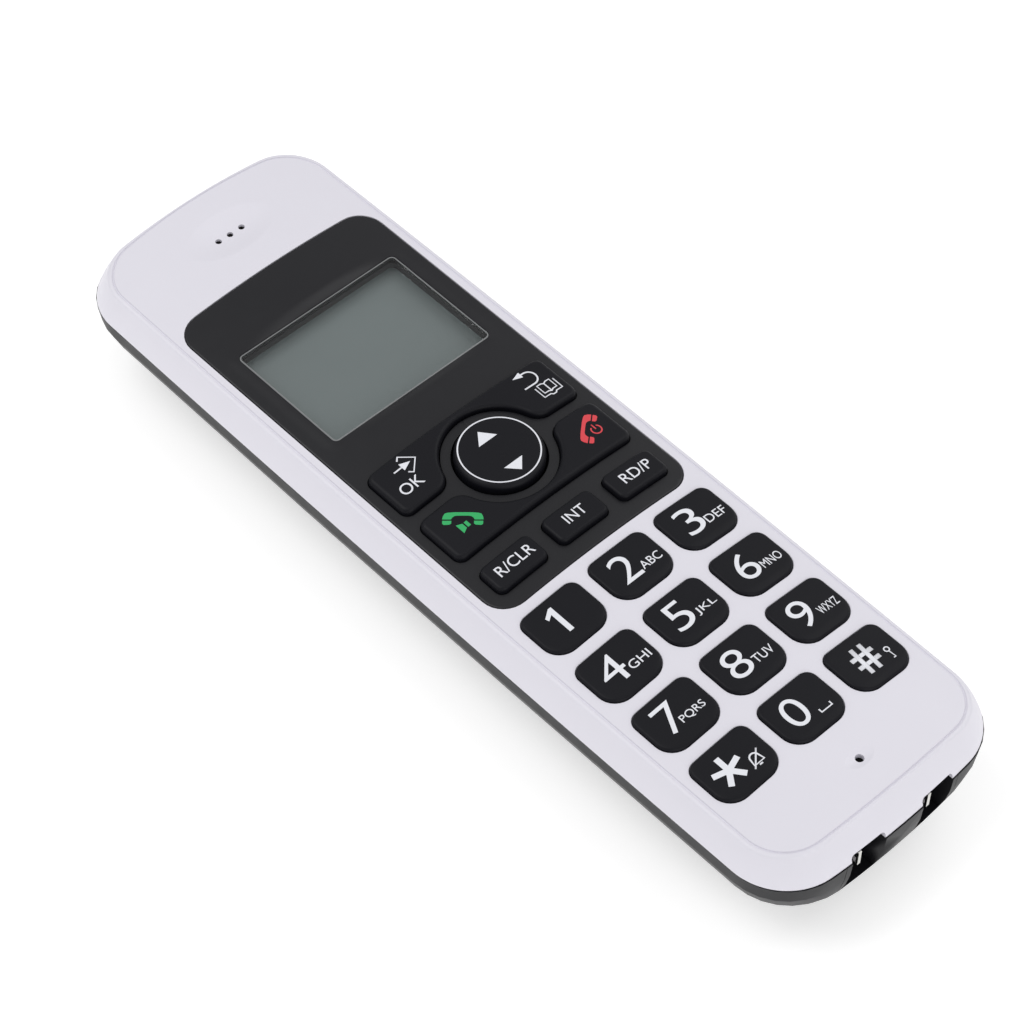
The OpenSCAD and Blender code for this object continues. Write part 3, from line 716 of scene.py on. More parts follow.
BOARD = BoardFinish("circuit_board", (0.012, 0.13, 0.05), 0.35, coat=0.4, slot="circuit_board")
LEAD_RED = Finish("lead_red", (0.35, 0.02, 0.02), 0.4, slot="lead_wire")
PRINT_WHITE = Finish("print_white", (0.78, 0.79, 0.84), 0.5, grain_depth=0.003, tone=0.02)
PRINT_GREEN = Finish("print_green", (0.022, 0.40, 0.115), 0.5, grain_depth=0.003, tone=0.03)
PRINT_RED = Finish("print_red", (0.68, 0.05, 0.065), 0.5, grain_depth=0.003, tone=0.03)
FLOOR = Finish("paper_floor", (0.78, 0.78, 0.78), 0.9, grain_depth=0.01, tone=0.004, tone_size=60, glow=0.47)


def dress(obj: Piece, finish: Finish) -> None:
    """Give an object one finish.

    Args:
        obj: The piece, or a CAD node's object.
        finish: Its finish.
    """
    obj.data.materials.clear()
    obj.data.materials.append(finish.material())


def settle(obj: Piece, finish: Finish, body: str, *nodes: str) -> None:
    """Dress a finished piece, mount it on its body and let it stand for its CAD nodes.

    Args:
        obj: The piece.
        finish: Its finish.
        body: CAD body it rides on.
        nodes: CAD nodes it replaces.
    """
    dress(obj, finish)
    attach(obj, body)
    if nodes:
        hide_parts(*nodes)
    log.info("%s on %s, %d faces", obj.name, body, len(obj.data.polygons))


# ---- Covers -----------------------------------------------------------------


def flat_cutter(outline_at: OutlineAt, low: float, high: float, rim: float = 0.12) -> Piece:
    """Cutter for a flat face, flared at the rim so that the cut edge comes out rounded.

    Args:
        outline_at: Function that gives the outline grown by a distance.
        low: Height of its lower end.
        high: Height of the face that it cuts.
        rim: Width of the rounded edge.

    Returns:
        The closed cutter.
    """
    rings = [at_height(outline_at(0.0), low), at_height(outline_at(0.0), high - rim)]
    rings += [at_height(outline_at(inset), high - sink) for inset, sink in quarter_round(rim, 3)]
    rings.append(at_height(outline_at(rim), high + 1))
    return loft("cutter", rings)


@dataclass
class FrontCover:
    """White upper cover: crowned face, drafted wall, framing groove and every opening."""

    wall: float = 1.6
    edge_r: float = 0.7
    foot_r: float = 0.14
    groove_side: float = 2.57
    groove_end: float = 2.95
    groove_w: float = 0.42
    groove_deep: float = 0.24
    key_gap: float = 0.1
    fit_gap: float = 0.1
    floor_deep: float = 1.15
    rubber_bay_w: float = 37.4
    bay_r: float = 1.5
    bay_gap: float = 0.3
    slot_x: float = 7.15
    slot_w: float = 6.6
    slot_deep: float = 5.5
    slot_rise: float = 1.4
    ear_y: float = 67.3
    ear_pitch: float = 2.38
    ear_hole_d: float = 1.1
    ear_dish: tuple[float, float, float] = (8.6, 4.7, 0.85)
    mic_y: float = -70.4
    mic_hole_d: float = 1.4
    mic_dish: tuple[float, float, float] = (2.7, 1.5, 0.4)
    cloth_sink: float = 1.25
    cloth_gap: float = 0.1
    cloth_t: float = 0.25

    @property
    def cloth_at(self) -> tuple[tuple[str, float, float, float], ...]:
        """Name, place and half size across and along of each near-black cloth that paints the shade deep in
        the sound holes.
        """
        return ("ear_cloth", self.ear_y, 3.6, 1.4), ("mic_cloth", self.mic_y, 1.6, 1.6)

    def build(self) -> None:
        """Model the cover flat, cut its openings, then bend it to the crown."""
        obj = self.shell()
        cut(obj, *self.openings())
        FORM.bend(obj)
        obj.name = obj.data.name = "upper_cover"
        soften(obj, 32)
        settle(obj, WHITE, HANDSET, "front_cover")
        self.cloths()

    def plan_step(self) -> tuple[Points, Points]:
        """Body outline, and how far each of its points moves for a millimetre of inset."""
        base = FORM.outline(0, 0)
        return base, (FORM.outline(4, 4) - base) / 4

    def edge_inset(self) -> Points:
        """Find where the drafted wall meets the crowned face.

        Returns:
            The inset there, for each outline point.
        """
        base, step = self.plan_step()
        inset = np.full(len(base), 2.4)
        slope = math.tan(math.radians(FORM.side_draft))
        for _ in range(8):
            x = base[:, 0] + step[:, 0] * inset
            inset = slope * (FORM.face_z - FORM.drop(x) - FORM.part_z) - FORM.edge_roll
        return inset

    def shell(self) -> Piece:
        """Closed shell with the groove, over a flat face.

        Returns:
            The shell.
        """
        base, step = self.plan_step()
        edge = self.edge_inset()
        slope = math.tan(math.radians(FORM.side_draft))

        def ring(inset: Points | float, z: Points | float) -> Points:
            """Ring at an inset and a height."""
            return at_height(base + step * np.reshape(np.broadcast_to(inset, len(base)), (-1, 1)), z)

        def crown_at(plan: Points, sink: float) -> Points:
            """Ring on the crowned face, sunk by a distance."""
            return at_height(plan, FORM.face_z - FORM.drop(plan[:, 0]) - sink)

        edge_ring = ring(edge, 0)
        edge_z = FORM.face_z - FORM.drop(edge_ring[:, 0])
        groove_at = [FORM.outline(self.groove_side + s, self.groove_end + s)
                     for s in self.groove_w * np.array([0, 0.22, 0.5, 0.78, 1])]
        shoulder = np.linalg.norm(groove_at[0] - edge_ring[:, :2], axis=1)
        reach = np.minimum(self.edge_r * 0.65, shoulder - 0.06)
        start = ring(edge - reach * math.sin(math.radians(FORM.side_draft)),
                     edge_z - reach * math.cos(math.radians(FORM.side_draft)))
        end = ring(edge + reach, 0)
        end[:, 2] = FORM.face_z - FORM.drop(end[:, 0])
        corner = ring(edge, edge_z)
        fillet = [(1 - t) ** 2 * start + 2 * t * (1 - t) * corner + t * t * end for t in np.linspace(0, 1, 6)]
        rim = FORM.part_z + self.foot_r
        belly = [ring(slope * h - FORM.edge_roll - 0.16 * math.sin(math.pi * h / 4.6), FORM.part_z + h)
                 for h in (0.5, 1.2, 2.0, 2.8, 3.6)]
        inner_top = [ring(edge + self.wall + 0.4, FORM.face_z - FORM.drop(edge_ring[:, 0]) - self.wall),
                     ring(self.wall, FORM.part_z)]
        rings = [*inner_top, ring(self.foot_r, FORM.part_z), ring(0.04, FORM.part_z + 0.05), ring(0, rim),
                 *belly, *fillet]
        sinks = self.groove_deep * np.array([0, 0.8, 1, 0.8, 0])
        rings += [crown_at(plan, sink) for plan, sink in zip(groove_at, sinks)]
        return loft("upper_cover", [FORM.unbend(r) for r in rings])

    def openings(self) -> list[Piece]:
        """Cutters for every opening in the flat shell.

        Returns:
            The cutters, from the fascia plate's bed to the charging slots.
        """
        face = FORM.face_z
        size, middle = plan_of("fascia")
        corner_r = Fascia().corner_r

        def plate(grow: float) -> Points:
            """Fascia plate's outline, grown."""
            return rounded_box(size[0], size[1], corner_r, corner_r, grow + self.fit_gap, middle)

        cutters = [flat_cutter(plate, face - self.floor_deep, face)]
        window_low, window_high = box_mm("display_window")
        keys_low, keys_high = box_mm("recall_key")[0], box_mm("menu_key")[1]
        for width, low, high in ((window_high[0] - window_low[0], window_low[1], window_high[1]),
                                 (self.rubber_bay_w, keys_low[1], keys_high[1])):
            bay = rounded_box(width, high - low, self.bay_r, self.bay_r, self.bay_gap, (0, (low + high) / 2))
            cutters.append(prism(bay, FORM.part_z - 1, face))
        for node in DIGITS:
            cutters.append(flat_cutter(DigitKey(node).plan(self.key_gap), FORM.part_z, face, 0.14))
        # Pockets for the near-black cloths that paint the shade deep in the sound holes.
        for _, y, across, along in self.cloth_at:
            plan = oval(across + self.cloth_gap, along + self.cloth_gap, y, 40)
            cutters.append(prism(plan, FORM.part_z, face - self.cloth_sink))
        return cutters + self.sound_holes() + self.slots()

    def sound_holes(self) -> list[Piece]:
        """Cutters for the earpiece and the microphone.

        Returns:
            Two shallow dishes and the holes in them.
        """
        face = FORM.face_z
        made = []
        for (across, along, deep), y in ((self.ear_dish, self.ear_y), (self.mic_dish, self.mic_y)):
            rings = [at_height(oval(across, along, y, 64), face + 1)]
            for share in (1.0, 0.93, 0.86, 0.76, 0.64, 0.5, 0.34, 0.16):
                sink = deep * (1 - share * share) ** 1.4
                rings.append(at_height(oval(across, along, y, 64, share), face - sink))
            made.append(loft("cutter", rings))
        holes = [(i * self.ear_pitch, self.ear_y, self.ear_hole_d) for i in (-1, 0, 1)]
        for x, y, d in [*holes, (0, self.mic_y, self.mic_hole_d)]:
            made.append(prism(circle(d / 2, (x, y), 32), FORM.part_z + 2, face + 2))
        return made

    def cloths(self) -> None:
        """Near-black cloths close behind the sound holes: painted shade deep in the holes, and a dust mesh as
        well.
        """
        under = FORM.face_z - self.cloth_sink
        for name, y, across, along in self.cloth_at:
            obj = prism(oval(across, along, y, 40), under - self.cloth_t, under, name)
            round_edges(obj, 0.05)
            soften(obj)
            settle(obj, HOLE_SHADE_CLOTH, HANDSET)

    def slots(self) -> list[Piece]:
        """Cutters for the two charging slots in the tail.

        Returns:
            One cutter for each slot.
        """
        tail = -FORM.length / 2
        made = []
        for side in (-1, 1):
            top = FORM.part_z + self.slot_rise
            middle = (side * self.slot_x, FORM.part_z)
            plan = rounded_box(self.slot_w, 2 * (self.slot_rise + 1), 0.7, 0.1, 0, middle)
            plan[:, 1] += top - plan[:, 1].max()
            rings = [np.column_stack([plan[:, 0], np.full(len(plan), y), plan[:, 1]])
                     for y in (tail - 1, tail + self.slot_deep)]
            made.append(loft("cutter", rings))
        return made


@dataclass
class RearShell:
    """Dark rear cover with the contact holder, and the battery door that slides off it."""

    smooth_angle: float = 30.0
    shells: tuple = (("rear_cover", "rear_shell", HANDSET), ("contact_holder", "contact_block", HANDSET),
                     ("battery_door", "battery_lid", "battery_door"))

    def build(self) -> None:
        """Merge and smooth copies of the shells that the frame gives."""
        for node, name, body in self.shells:
            obj = smooth_copy(node, name)
            soften(obj, self.smooth_angle)
            settle(obj, DARK_SHELL, body, node)


# ---- Fascia, window and display ---------------------------------------------


@dataclass
class Fascia:
    """Dark plate that frames the window and the function keys."""

    thick: float = 0.9
    corner_r: float = 4.3
    edge: float = 0.28
    key_gap: float = 0.1
    lip: float = 2.2
    fit: float = 0.04
    rim_foot: float = 0.75

    def build(self) -> None:
        """Model the plate flat, cut it, and bend it to the crown."""
        size, middle = plan_of("fascia")
        face = FORM.face_z

        def plan(grow: float) -> Points:
            """Outline of the plate, grown."""
            return rounded_box(size[0], size[1], self.corner_r, self.corner_r, grow, middle, 16)

        rings = [at_height(plan(0), face - self.thick), at_height(plan(0), face - self.edge)]
        rings += [at_height(plan(-inset), face - sink) for inset, sink in quarter_round(self.edge, 3)]
        obj = loft("fascia_plate", rings)
        cut(obj, *self.key_openings(), prism(Window().plan(self.lip), face - self.thick - 1, face + 1))
        FORM.bend(obj)
        obj = join("fascia_plate", obj, self.surround())
        soften(obj, 32)
        settle(obj, FASCIA, HANDSET, "fascia")

    def key_openings(self) -> list[Piece]:
        """Cutters round the function keys, the strips and the rocker.

        Returns:
            The cutters, over the flat plate.
        """
        face, low = FORM.face_z, FORM.face_z - self.thick - 1
        made = [flat_cutter(FunctionKey(node).plan(self.key_gap), low, face) for node in FUNCTION_KEYS]
        strip_gap = self.key_gap - StripKey("menu_key").shrink
        made += [flat_cutter(full_strip_plan(up, strip_gap), low, face) for up in (1, -1)]
        radius = NavRocker().radius + NavRocker().gap
        middle = (0, NavRocker().centre[1])
        made.append(flat_cutter(lambda grow: circle(radius + grow, middle), low, face))
        return made

    def surround(self) -> Piece:
        """Rim that runs from the crowned plate down to the flat window.

        Returns:
            The rim, in its final place.
        """
        lens_z = Window().top_z() + self.fit

        def plan(grow: float) -> Points:
            """Outline of the window, grown, with divided sides."""
            return split_sides(Window().plan(grow))

        def crowned(grow: float) -> Points:
            """Ring on the crowned face."""
            outline = plan(grow)
            return at_height(outline, FORM.face_z - FORM.drop(outline[:, 0]))

        inner = Window().gap
        rings = []
        for share in np.linspace(1, 0, 13):
            ring = crowned(inner + (self.lip - inner) * share)
            ring[:, 2] = lens_z + (ring[:, 2] - lens_z) * (1 - (1 - share) ** 2)
            rings.append(ring)
        foot = FORM.face_z - self.thick - self.rim_foot
        rings += [at_height(plan(inner), foot), at_height(plan(self.lip), foot), rings[0]]
        return loft("window_rim", rings)


@dataclass
class Window:
    """Clear lens over the display, with the foam frame under it."""

    gap: float = 0.1
    corner_r: float = 1.0
    flange: float = 0.7
    flange_t: float = 0.6
    edge: float = 0.18
    sink: float = 0.16

    def plan(self, grow: float) -> Points:
        """Outline of the lens's visible part.

        Args:
            grow: Offset outwards.

        Returns:
            The closed outline.
        """
        size, middle = plan_of("display_window")
        width, height = size - 2 * self.flange
        return rounded_box(width, height, self.corner_r, self.corner_r, grow - self.gap, (0, middle[1]))

    def top_z(self) -> float:
        """Height of the lens's outer face."""
        return box_mm("display_window")[1][2] - self.sink

    def build(self) -> None:
        """Build the lens, its bevel and its foam frame."""
        low = box_mm("display_window")[0][2]
        top = self.top_z()
        flange = self.flange + self.gap
        steps = [(flange, low), (flange, low + self.flange_t), (0, low + self.flange_t), (0, top - self.edge),
                 (-self.edge * 0.3, top - self.edge * 0.3), (-self.edge, top)]
        lens = loft("display_lens", [at_height(self.plan(grow), z) for grow, z in steps])
        soften(lens, 25)
        settle(lens, LENS, HANDSET, "display_window")
        # The bevel ring is opaque grey, not clear: a painted highlight along the lens edge.
        ring_at = [(0.01, -self.edge * 1.1), (0.01, -0.02), (-self.edge * 0.3, 0.012 - self.edge * 0.25),
                   (-self.edge * 1.15, 0.015), (-self.edge * 1.15, -0.04), (0.01, -self.edge * 1.1)]
        bevel = loft("lens_bevel", [at_height(self.plan(grow), top + rise) for grow, rise in ring_at])
        soften(bevel)
        settle(bevel, LENS_EDGE_GLINT, HANDSET)
        foam_low = box_mm("window_gasket")[0][2]
        foam = prism(self.plan(self.flange), foam_low, low, "lens_frame")
        cut(foam, prism(self.plan(0.15), foam_low - 1, low + 1))
        round_edges(foam, 0.06)
        soften(foam)
        settle(foam, GASKET, HANDSET, "window_gasket")


# ---- Keys -------------------------------------------------------------------

DIGITS = [f"key_{digit}" for digit in range(1, 10)] + ["key_star", "key_0", "key_hash"]
FUNCTION_KEYS = ["recall_key", "intercom_key", "redial_key"]
STRIPS = {"menu_key": (-1, 1), "back_key": (1, 1), "talk_key": (-1, -1), "end_key": (1, -1)}


def plunger(radius: float, length: float, middle: tuple[float, float, float], edge: float,
            lying: bool = False) -> Piece:
    """Round rubber pin with rounded ends.

    Args:
        radius: Its radius.
        length: Its length.
        middle: Its middle.
        edge: Width of the rounding of its ends.
        lying: Whether it lies across the handset instead of standing.

    Returns:
        The pin.
    """
    deselect()
    bpy.ops.mesh.primitive_cylinder_add(vertices=32, radius=radius * MM, depth=length * MM,
                                        rotation=(0, math.pi / 2 if lying else 0, 0),
                                        location=[place * MM for place in middle])
    obj = bpy.context.object
    bpy.ops.object.transform_apply(location=True, rotation=True, scale=True)
    round_edges(obj, edge)
    return obj


@dataclass
class PushKey:
    """Moulded rubber key: a flange under the cover, an upright wall and a rounded top."""

    node: str
    shrink: float = 0.1
    flange_out: float = 0.6
    flange_t: float = 0.9
    edge_r: float = 0.42
    raised: float = 0.47
    pill_r: float = 2.0
    top_r: float = 1.2
    bottom_r: float = 1.2
    lower_band: float = 0.0
    lower_sink: float = 0.0

    @property
    def flange_z(self) -> float:
        """Height of the flange's lower face."""
        return NavRocker().flange_z

    @property
    def centre(self) -> Place:
        """Middle of the key in plan."""
        return tuple(plan_of(self.node)[1])

    @property
    def size(self) -> Place:
        """Width and height of the key's top."""
        return tuple(plan_of(self.node)[0] - 2 * (self.flange_out + self.shrink))

    def outline(self, grow: float) -> Points:
        """Outline of the key, grown."""
        return rounded_box(*self.size, self.top_r, self.bottom_r, grow, self.centre)

    def plan(self, gap: float) -> OutlineAt:
        """Outline function of the opening round the key."""
        return lambda grow: self.outline(grow + gap)

    def top_ring(self, grow: float, z: float) -> Points:
        """Ring of the top, lower along the key's lower edge if it has a band there.

        Args:
            grow: Offset outwards.
            z: Height of the ring.

        Returns:
            The ring.
        """
        ring = at_height(self.outline(grow), z)
        if self.lower_band:
            foot = self.centre[1] - self.size[1] / 2
            near = np.clip(1 - (ring[:, 1] - foot - self.edge_r * 0.5) / self.lower_band, 0, 1)
            ring[:, 2] -= self.lower_sink * near
        return ring

    def build(self) -> None:
        """Loft the key flat, bend it to the crown and mount it."""
        top = FORM.face_z + self.raised
        flange = self.flange_z
        skirt = self.outline(self.flange_out + self.shrink)
        rings = [at_height(skirt, flange), at_height(skirt, flange + self.flange_t),
                 at_height(self.outline(0), flange + self.flange_t),
                 self.top_ring(0, top - self.edge_r)]
        rings += [self.top_ring(-inset, top - sink) for inset, sink in quarter_round(self.edge_r, 5)]
        if self.lower_band:
            rings.append(self.top_ring(-self.edge_r - self.lower_band * 0.5, top))
            rings.append(self.top_ring(-self.edge_r - self.lower_band, top))
        obj = loft(self.node + "_cap", rings)
        FORM.bend(obj, low=flange + self.flange_t)
        obj = join(self.node + "_cap", obj, self.pill())
        soften(obj, 40)
        settle(obj, RUBBER, self.node, self.node)

    def pill_place(self) -> Place:
        """Middle of the key's plunger."""
        return self.centre

    def pill(self) -> Piece:
        """Plunger under the key, its ends rounded.

        Returns:
            The plunger.
        """
        low = box_mm(self.node)[0][2]
        x, y = self.pill_place()
        return plunger(self.pill_r, self.flange_z - low, (x, y, (self.flange_z + low) / 2), 0.3)


@dataclass
class DigitKey(PushKey):
    """Key of the number block, its lower corners rounder than its upper ones."""

    top_r: float = 1.75
    bottom_r: float = 3.3
    lower_band: float = 1.1
    lower_sink: float = 0.2


@dataclass
class FunctionKey(PushKey):
    """Small bar key under the rocker."""

    raised: float = 1.1
    edge_r: float = 0.6


def strip_half(grow: float, inner_x: float = 0.004) -> Points:
    """Right upper half of a strip about the rocker's middle.

    Args:
        grow: Offset outwards.
        inner_x: Place of the end where it meets its other half.

    Returns:
        The closed outline.
    """
    s = StripSize()
    blend_y = s.inner + s.blend
    blend_x = math.sqrt((s.ring_r + s.blend) ** 2 - blend_y ** 2)
    turn = math.degrees(math.atan2(blend_y, blend_x))
    ring = s.ring_r - grow
    right, top, low = s.half_w - s.corner_r, s.outer - s.corner_r, s.inner + s.corner_r
    return np.vstack([
        [[inner_x, s.outer + grow]],
        arc((0, 0), ring, math.degrees(math.acos(inner_x / ring)), turn, 18),
        arc((blend_x, blend_y), s.blend + grow, 180 + turn, 270, 10),
        arc((right, low), s.corner_r + grow, 270, 360, 8),
        arc((right, top), s.corner_r + grow, 0, 90, 8)])


def full_strip_plan(up: int, gap: float) -> OutlineAt:
    """Outline function of the opening round both halves of a strip.

    Args:
        up: 1 for the strip over the rocker, -1 for the one under it.
        gap: Clearance round the strip.

    Returns:
        Function that gives the outline grown by a distance.
    """
    middle = np.array([0, NavRocker().centre[1]])

    def plan(grow: float) -> Points:
        """Both halves as one outline."""
        half = strip_half(grow + gap)
        left = half[::-1] * np.array([-1, 1])
        return np.vstack([half[1:], left[:-1]]) * np.array([1, up]) + middle

    return plan


@dataclass(frozen=True)
class StripSize:
    """Sizes that the four half strips share."""

    half_w: float = 17.95
    outer: float = 10.8
    inner: float = 0.97
    corner_r: float = 1.6
    blend: float = 3.0
    ring_r: float = 9.1


@dataclass
class StripKey(PushKey):
    """Half of a rubber strip that runs round the rocker."""

    raised: float = 1.1
    edge_r: float = 0.75

    @property
    def side(self) -> Points:
        """Which way the half strip lies from the rocker, across and along."""
        return np.array(STRIPS[self.node])

    def outline(self, grow: float) -> Points:
        """Outline of the half strip, grown."""
        return strip_half(grow - self.shrink) * self.side + np.array([0, NavRocker().centre[1]])

    def pill_place(self) -> Place:
        """Middle of the strip's plunger.

        Returns:
            Its place across and along.
        """
        s = StripSize()
        x, y = (s.half_w + s.ring_r) / 2 - 0.6, (s.inner + s.outer) / 2
        return x * self.side[0], NavRocker().centre[1] + y * self.side[1]


@dataclass
class NavRocker:
    """Round rocker with a flat top and a rounded edge."""

    radius: float = 7.05
    flange_out: float = 0.7
    flange_t: float = 0.9
    edge_r: float = 0.9
    gap: float = 0.36
    pin_r: float = 1.7
    pin_reach: float = 4.4
    ridge_r: float = 0.8
    ridge_w: float = 5.0
    pin_edge: float = 0.2

    @property
    def flange_z(self) -> float:
        """Height of the flanges' lower faces."""
        return box_mm("keypad_mat")[1][2] + 0.02 + 0.8 + 0.25

    @property
    def centre(self) -> Place:
        """Middle of the rocker in plan."""
        low, high = box_mm("nav_rocker")
        return 0.0, (low[1] + high[1]) / 2

    def build(self) -> None:
        """Spin the rocker's rings and join its two plungers and pivot ridge."""
        top, flange = box_mm("nav_rocker")[1][2], self.flange_z
        skirt, skirt_top = self.radius + self.flange_out, flange + self.flange_t
        steps = [(skirt, flange), (skirt, skirt_top), (self.radius, skirt_top),
                 (self.radius, top - self.edge_r)]
        steps += [(self.radius - inset, top - sink) for inset, sink in quarter_round(self.edge_r, 6)]
        obj = loft("rocker", [at_height(circle(r, self.centre, 128), z) for r, z in steps])
        low, y = box_mm("nav_rocker")[0][2], self.centre[1]
        pins = []
        for way in (-1, 1):
            middle = (0, y + self.pin_reach * way, (flange + low) / 2)
            pins.append(plunger(self.pin_r, flange - low, middle, self.pin_edge))
        pins.append(plunger(self.ridge_r, self.ridge_w, (0, y, flange - 0.25), self.pin_edge, lying=True))
        obj = join("rocker", obj, *pins)
        soften(obj, 30)
        settle(obj, RUBBER, "nav_rocker", "nav_rocker")


# ---- Printed legends --------------------------------------------------------


@dataclass
class Legend:
    """Thin print on one key: outlines, filled shapes and generic lettering."""

    name: str
    body: str
    raised: float
    finish: Finish = PRINT_WHITE
    crowned: bool = True
    thick: float = 0.03
    parts: list[Piece] = field(default_factory=list)

    def stroke(self, points: list, width: float, closed: bool = False) -> None:
        """Add a line of even width.

        Args:
            points: Places of its points in the plane.
            width: Width of the line.
            closed: Whether its ends meet.
        """
        curve = bpy.data.curves.new(self.name, "CURVE")
        curve.dimensions, curve.bevel_depth, curve.bevel_resolution = "3D", width / 2 * MM, 2
        curve.use_fill_caps = True
        self.spline(curve, points, closed)
        self.add(curve, flatten=self.thick / width)

    def fill(self, points: list) -> None:
        """Add a filled shape.

        Args:
            points: Its outline.
        """
        curve = bpy.data.curves.new(self.name, "CURVE")
        curve.dimensions, curve.fill_mode, curve.extrude = "2D", "BOTH", self.thick / 2 * MM
        self.spline(curve, points, True)
        self.add(curve)

    def write(self, text: str, box: tuple[float, float, float, float], weight: float = 0.0) -> None:
        """Add lettering that fills a box.

        Args:
            text: The lettering.
            box: Its left, right, lower and upper edges.
            weight: How far the strokes are thickened, as a share of the letter size.
        """
        curve = bpy.data.curves.new(self.name, "FONT")
        curve.body, curve.size, curve.extrude = text, 1.0, 0.01
        curve.offset = weight
        left, right, low, high = box
        obj = self.add(curve)
        places = coords(obj)
        lo, hi = places.min(0), places.max(0)
        share = (places - lo) / (hi - lo)
        places = np.column_stack([left + share[:, 0] * (right - left), low + share[:, 1] * (high - low),
                                  (share[:, 2] - 0.5) * self.thick])
        set_coords(obj, places)

    def spline(self, curve: bpy.types.Curve, points: list, closed: bool) -> None:
        """Put a straight-sided line into a curve.

        Args:
            curve: The curve.
            points: Places of the line's points.
            closed: Whether its ends meet.
        """
        line = curve.splines.new("POLY")
        line.points.add(len(points) - 1)
        for point, place in zip(line.points, points):
            point.co = (place[0] * MM, place[1] * MM, 0, 1)
        line.use_cyclic_u = closed

    def add(self, curve: bpy.types.Curve, flatten: float = 1.0) -> Piece:
        """Turn a curve into a mesh and keep it as a part of this legend.

        Args:
            curve: The curve.
            flatten: Factor on its thickness.

        Returns:
            The mesh object.
        """
        deselect()
        obj = bpy.data.objects.new(self.name, curve)
        bpy.context.scene.collection.objects.link(obj)
        pick(obj)
        bpy.ops.object.convert(target="MESH")
        places = coords(obj)
        places[:, 2] *= flatten
        set_coords(obj, places)
        self.parts.append(obj)
        return obj

    def settle(self) -> None:
        """Join the parts, lay them on the key's top and mount them."""
        obj = join(self.name, *self.parts)
        tidy_shell(obj, 0.0001)
        places = coords(obj)
        drop = FORM.drop(places[:, 0]) if self.crowned else 0.0
        places[:, 2] += FORM.face_z + self.raised - drop + self.thick * 0.3
        set_coords(obj, places)
        settle(obj, self.finish, self.body)


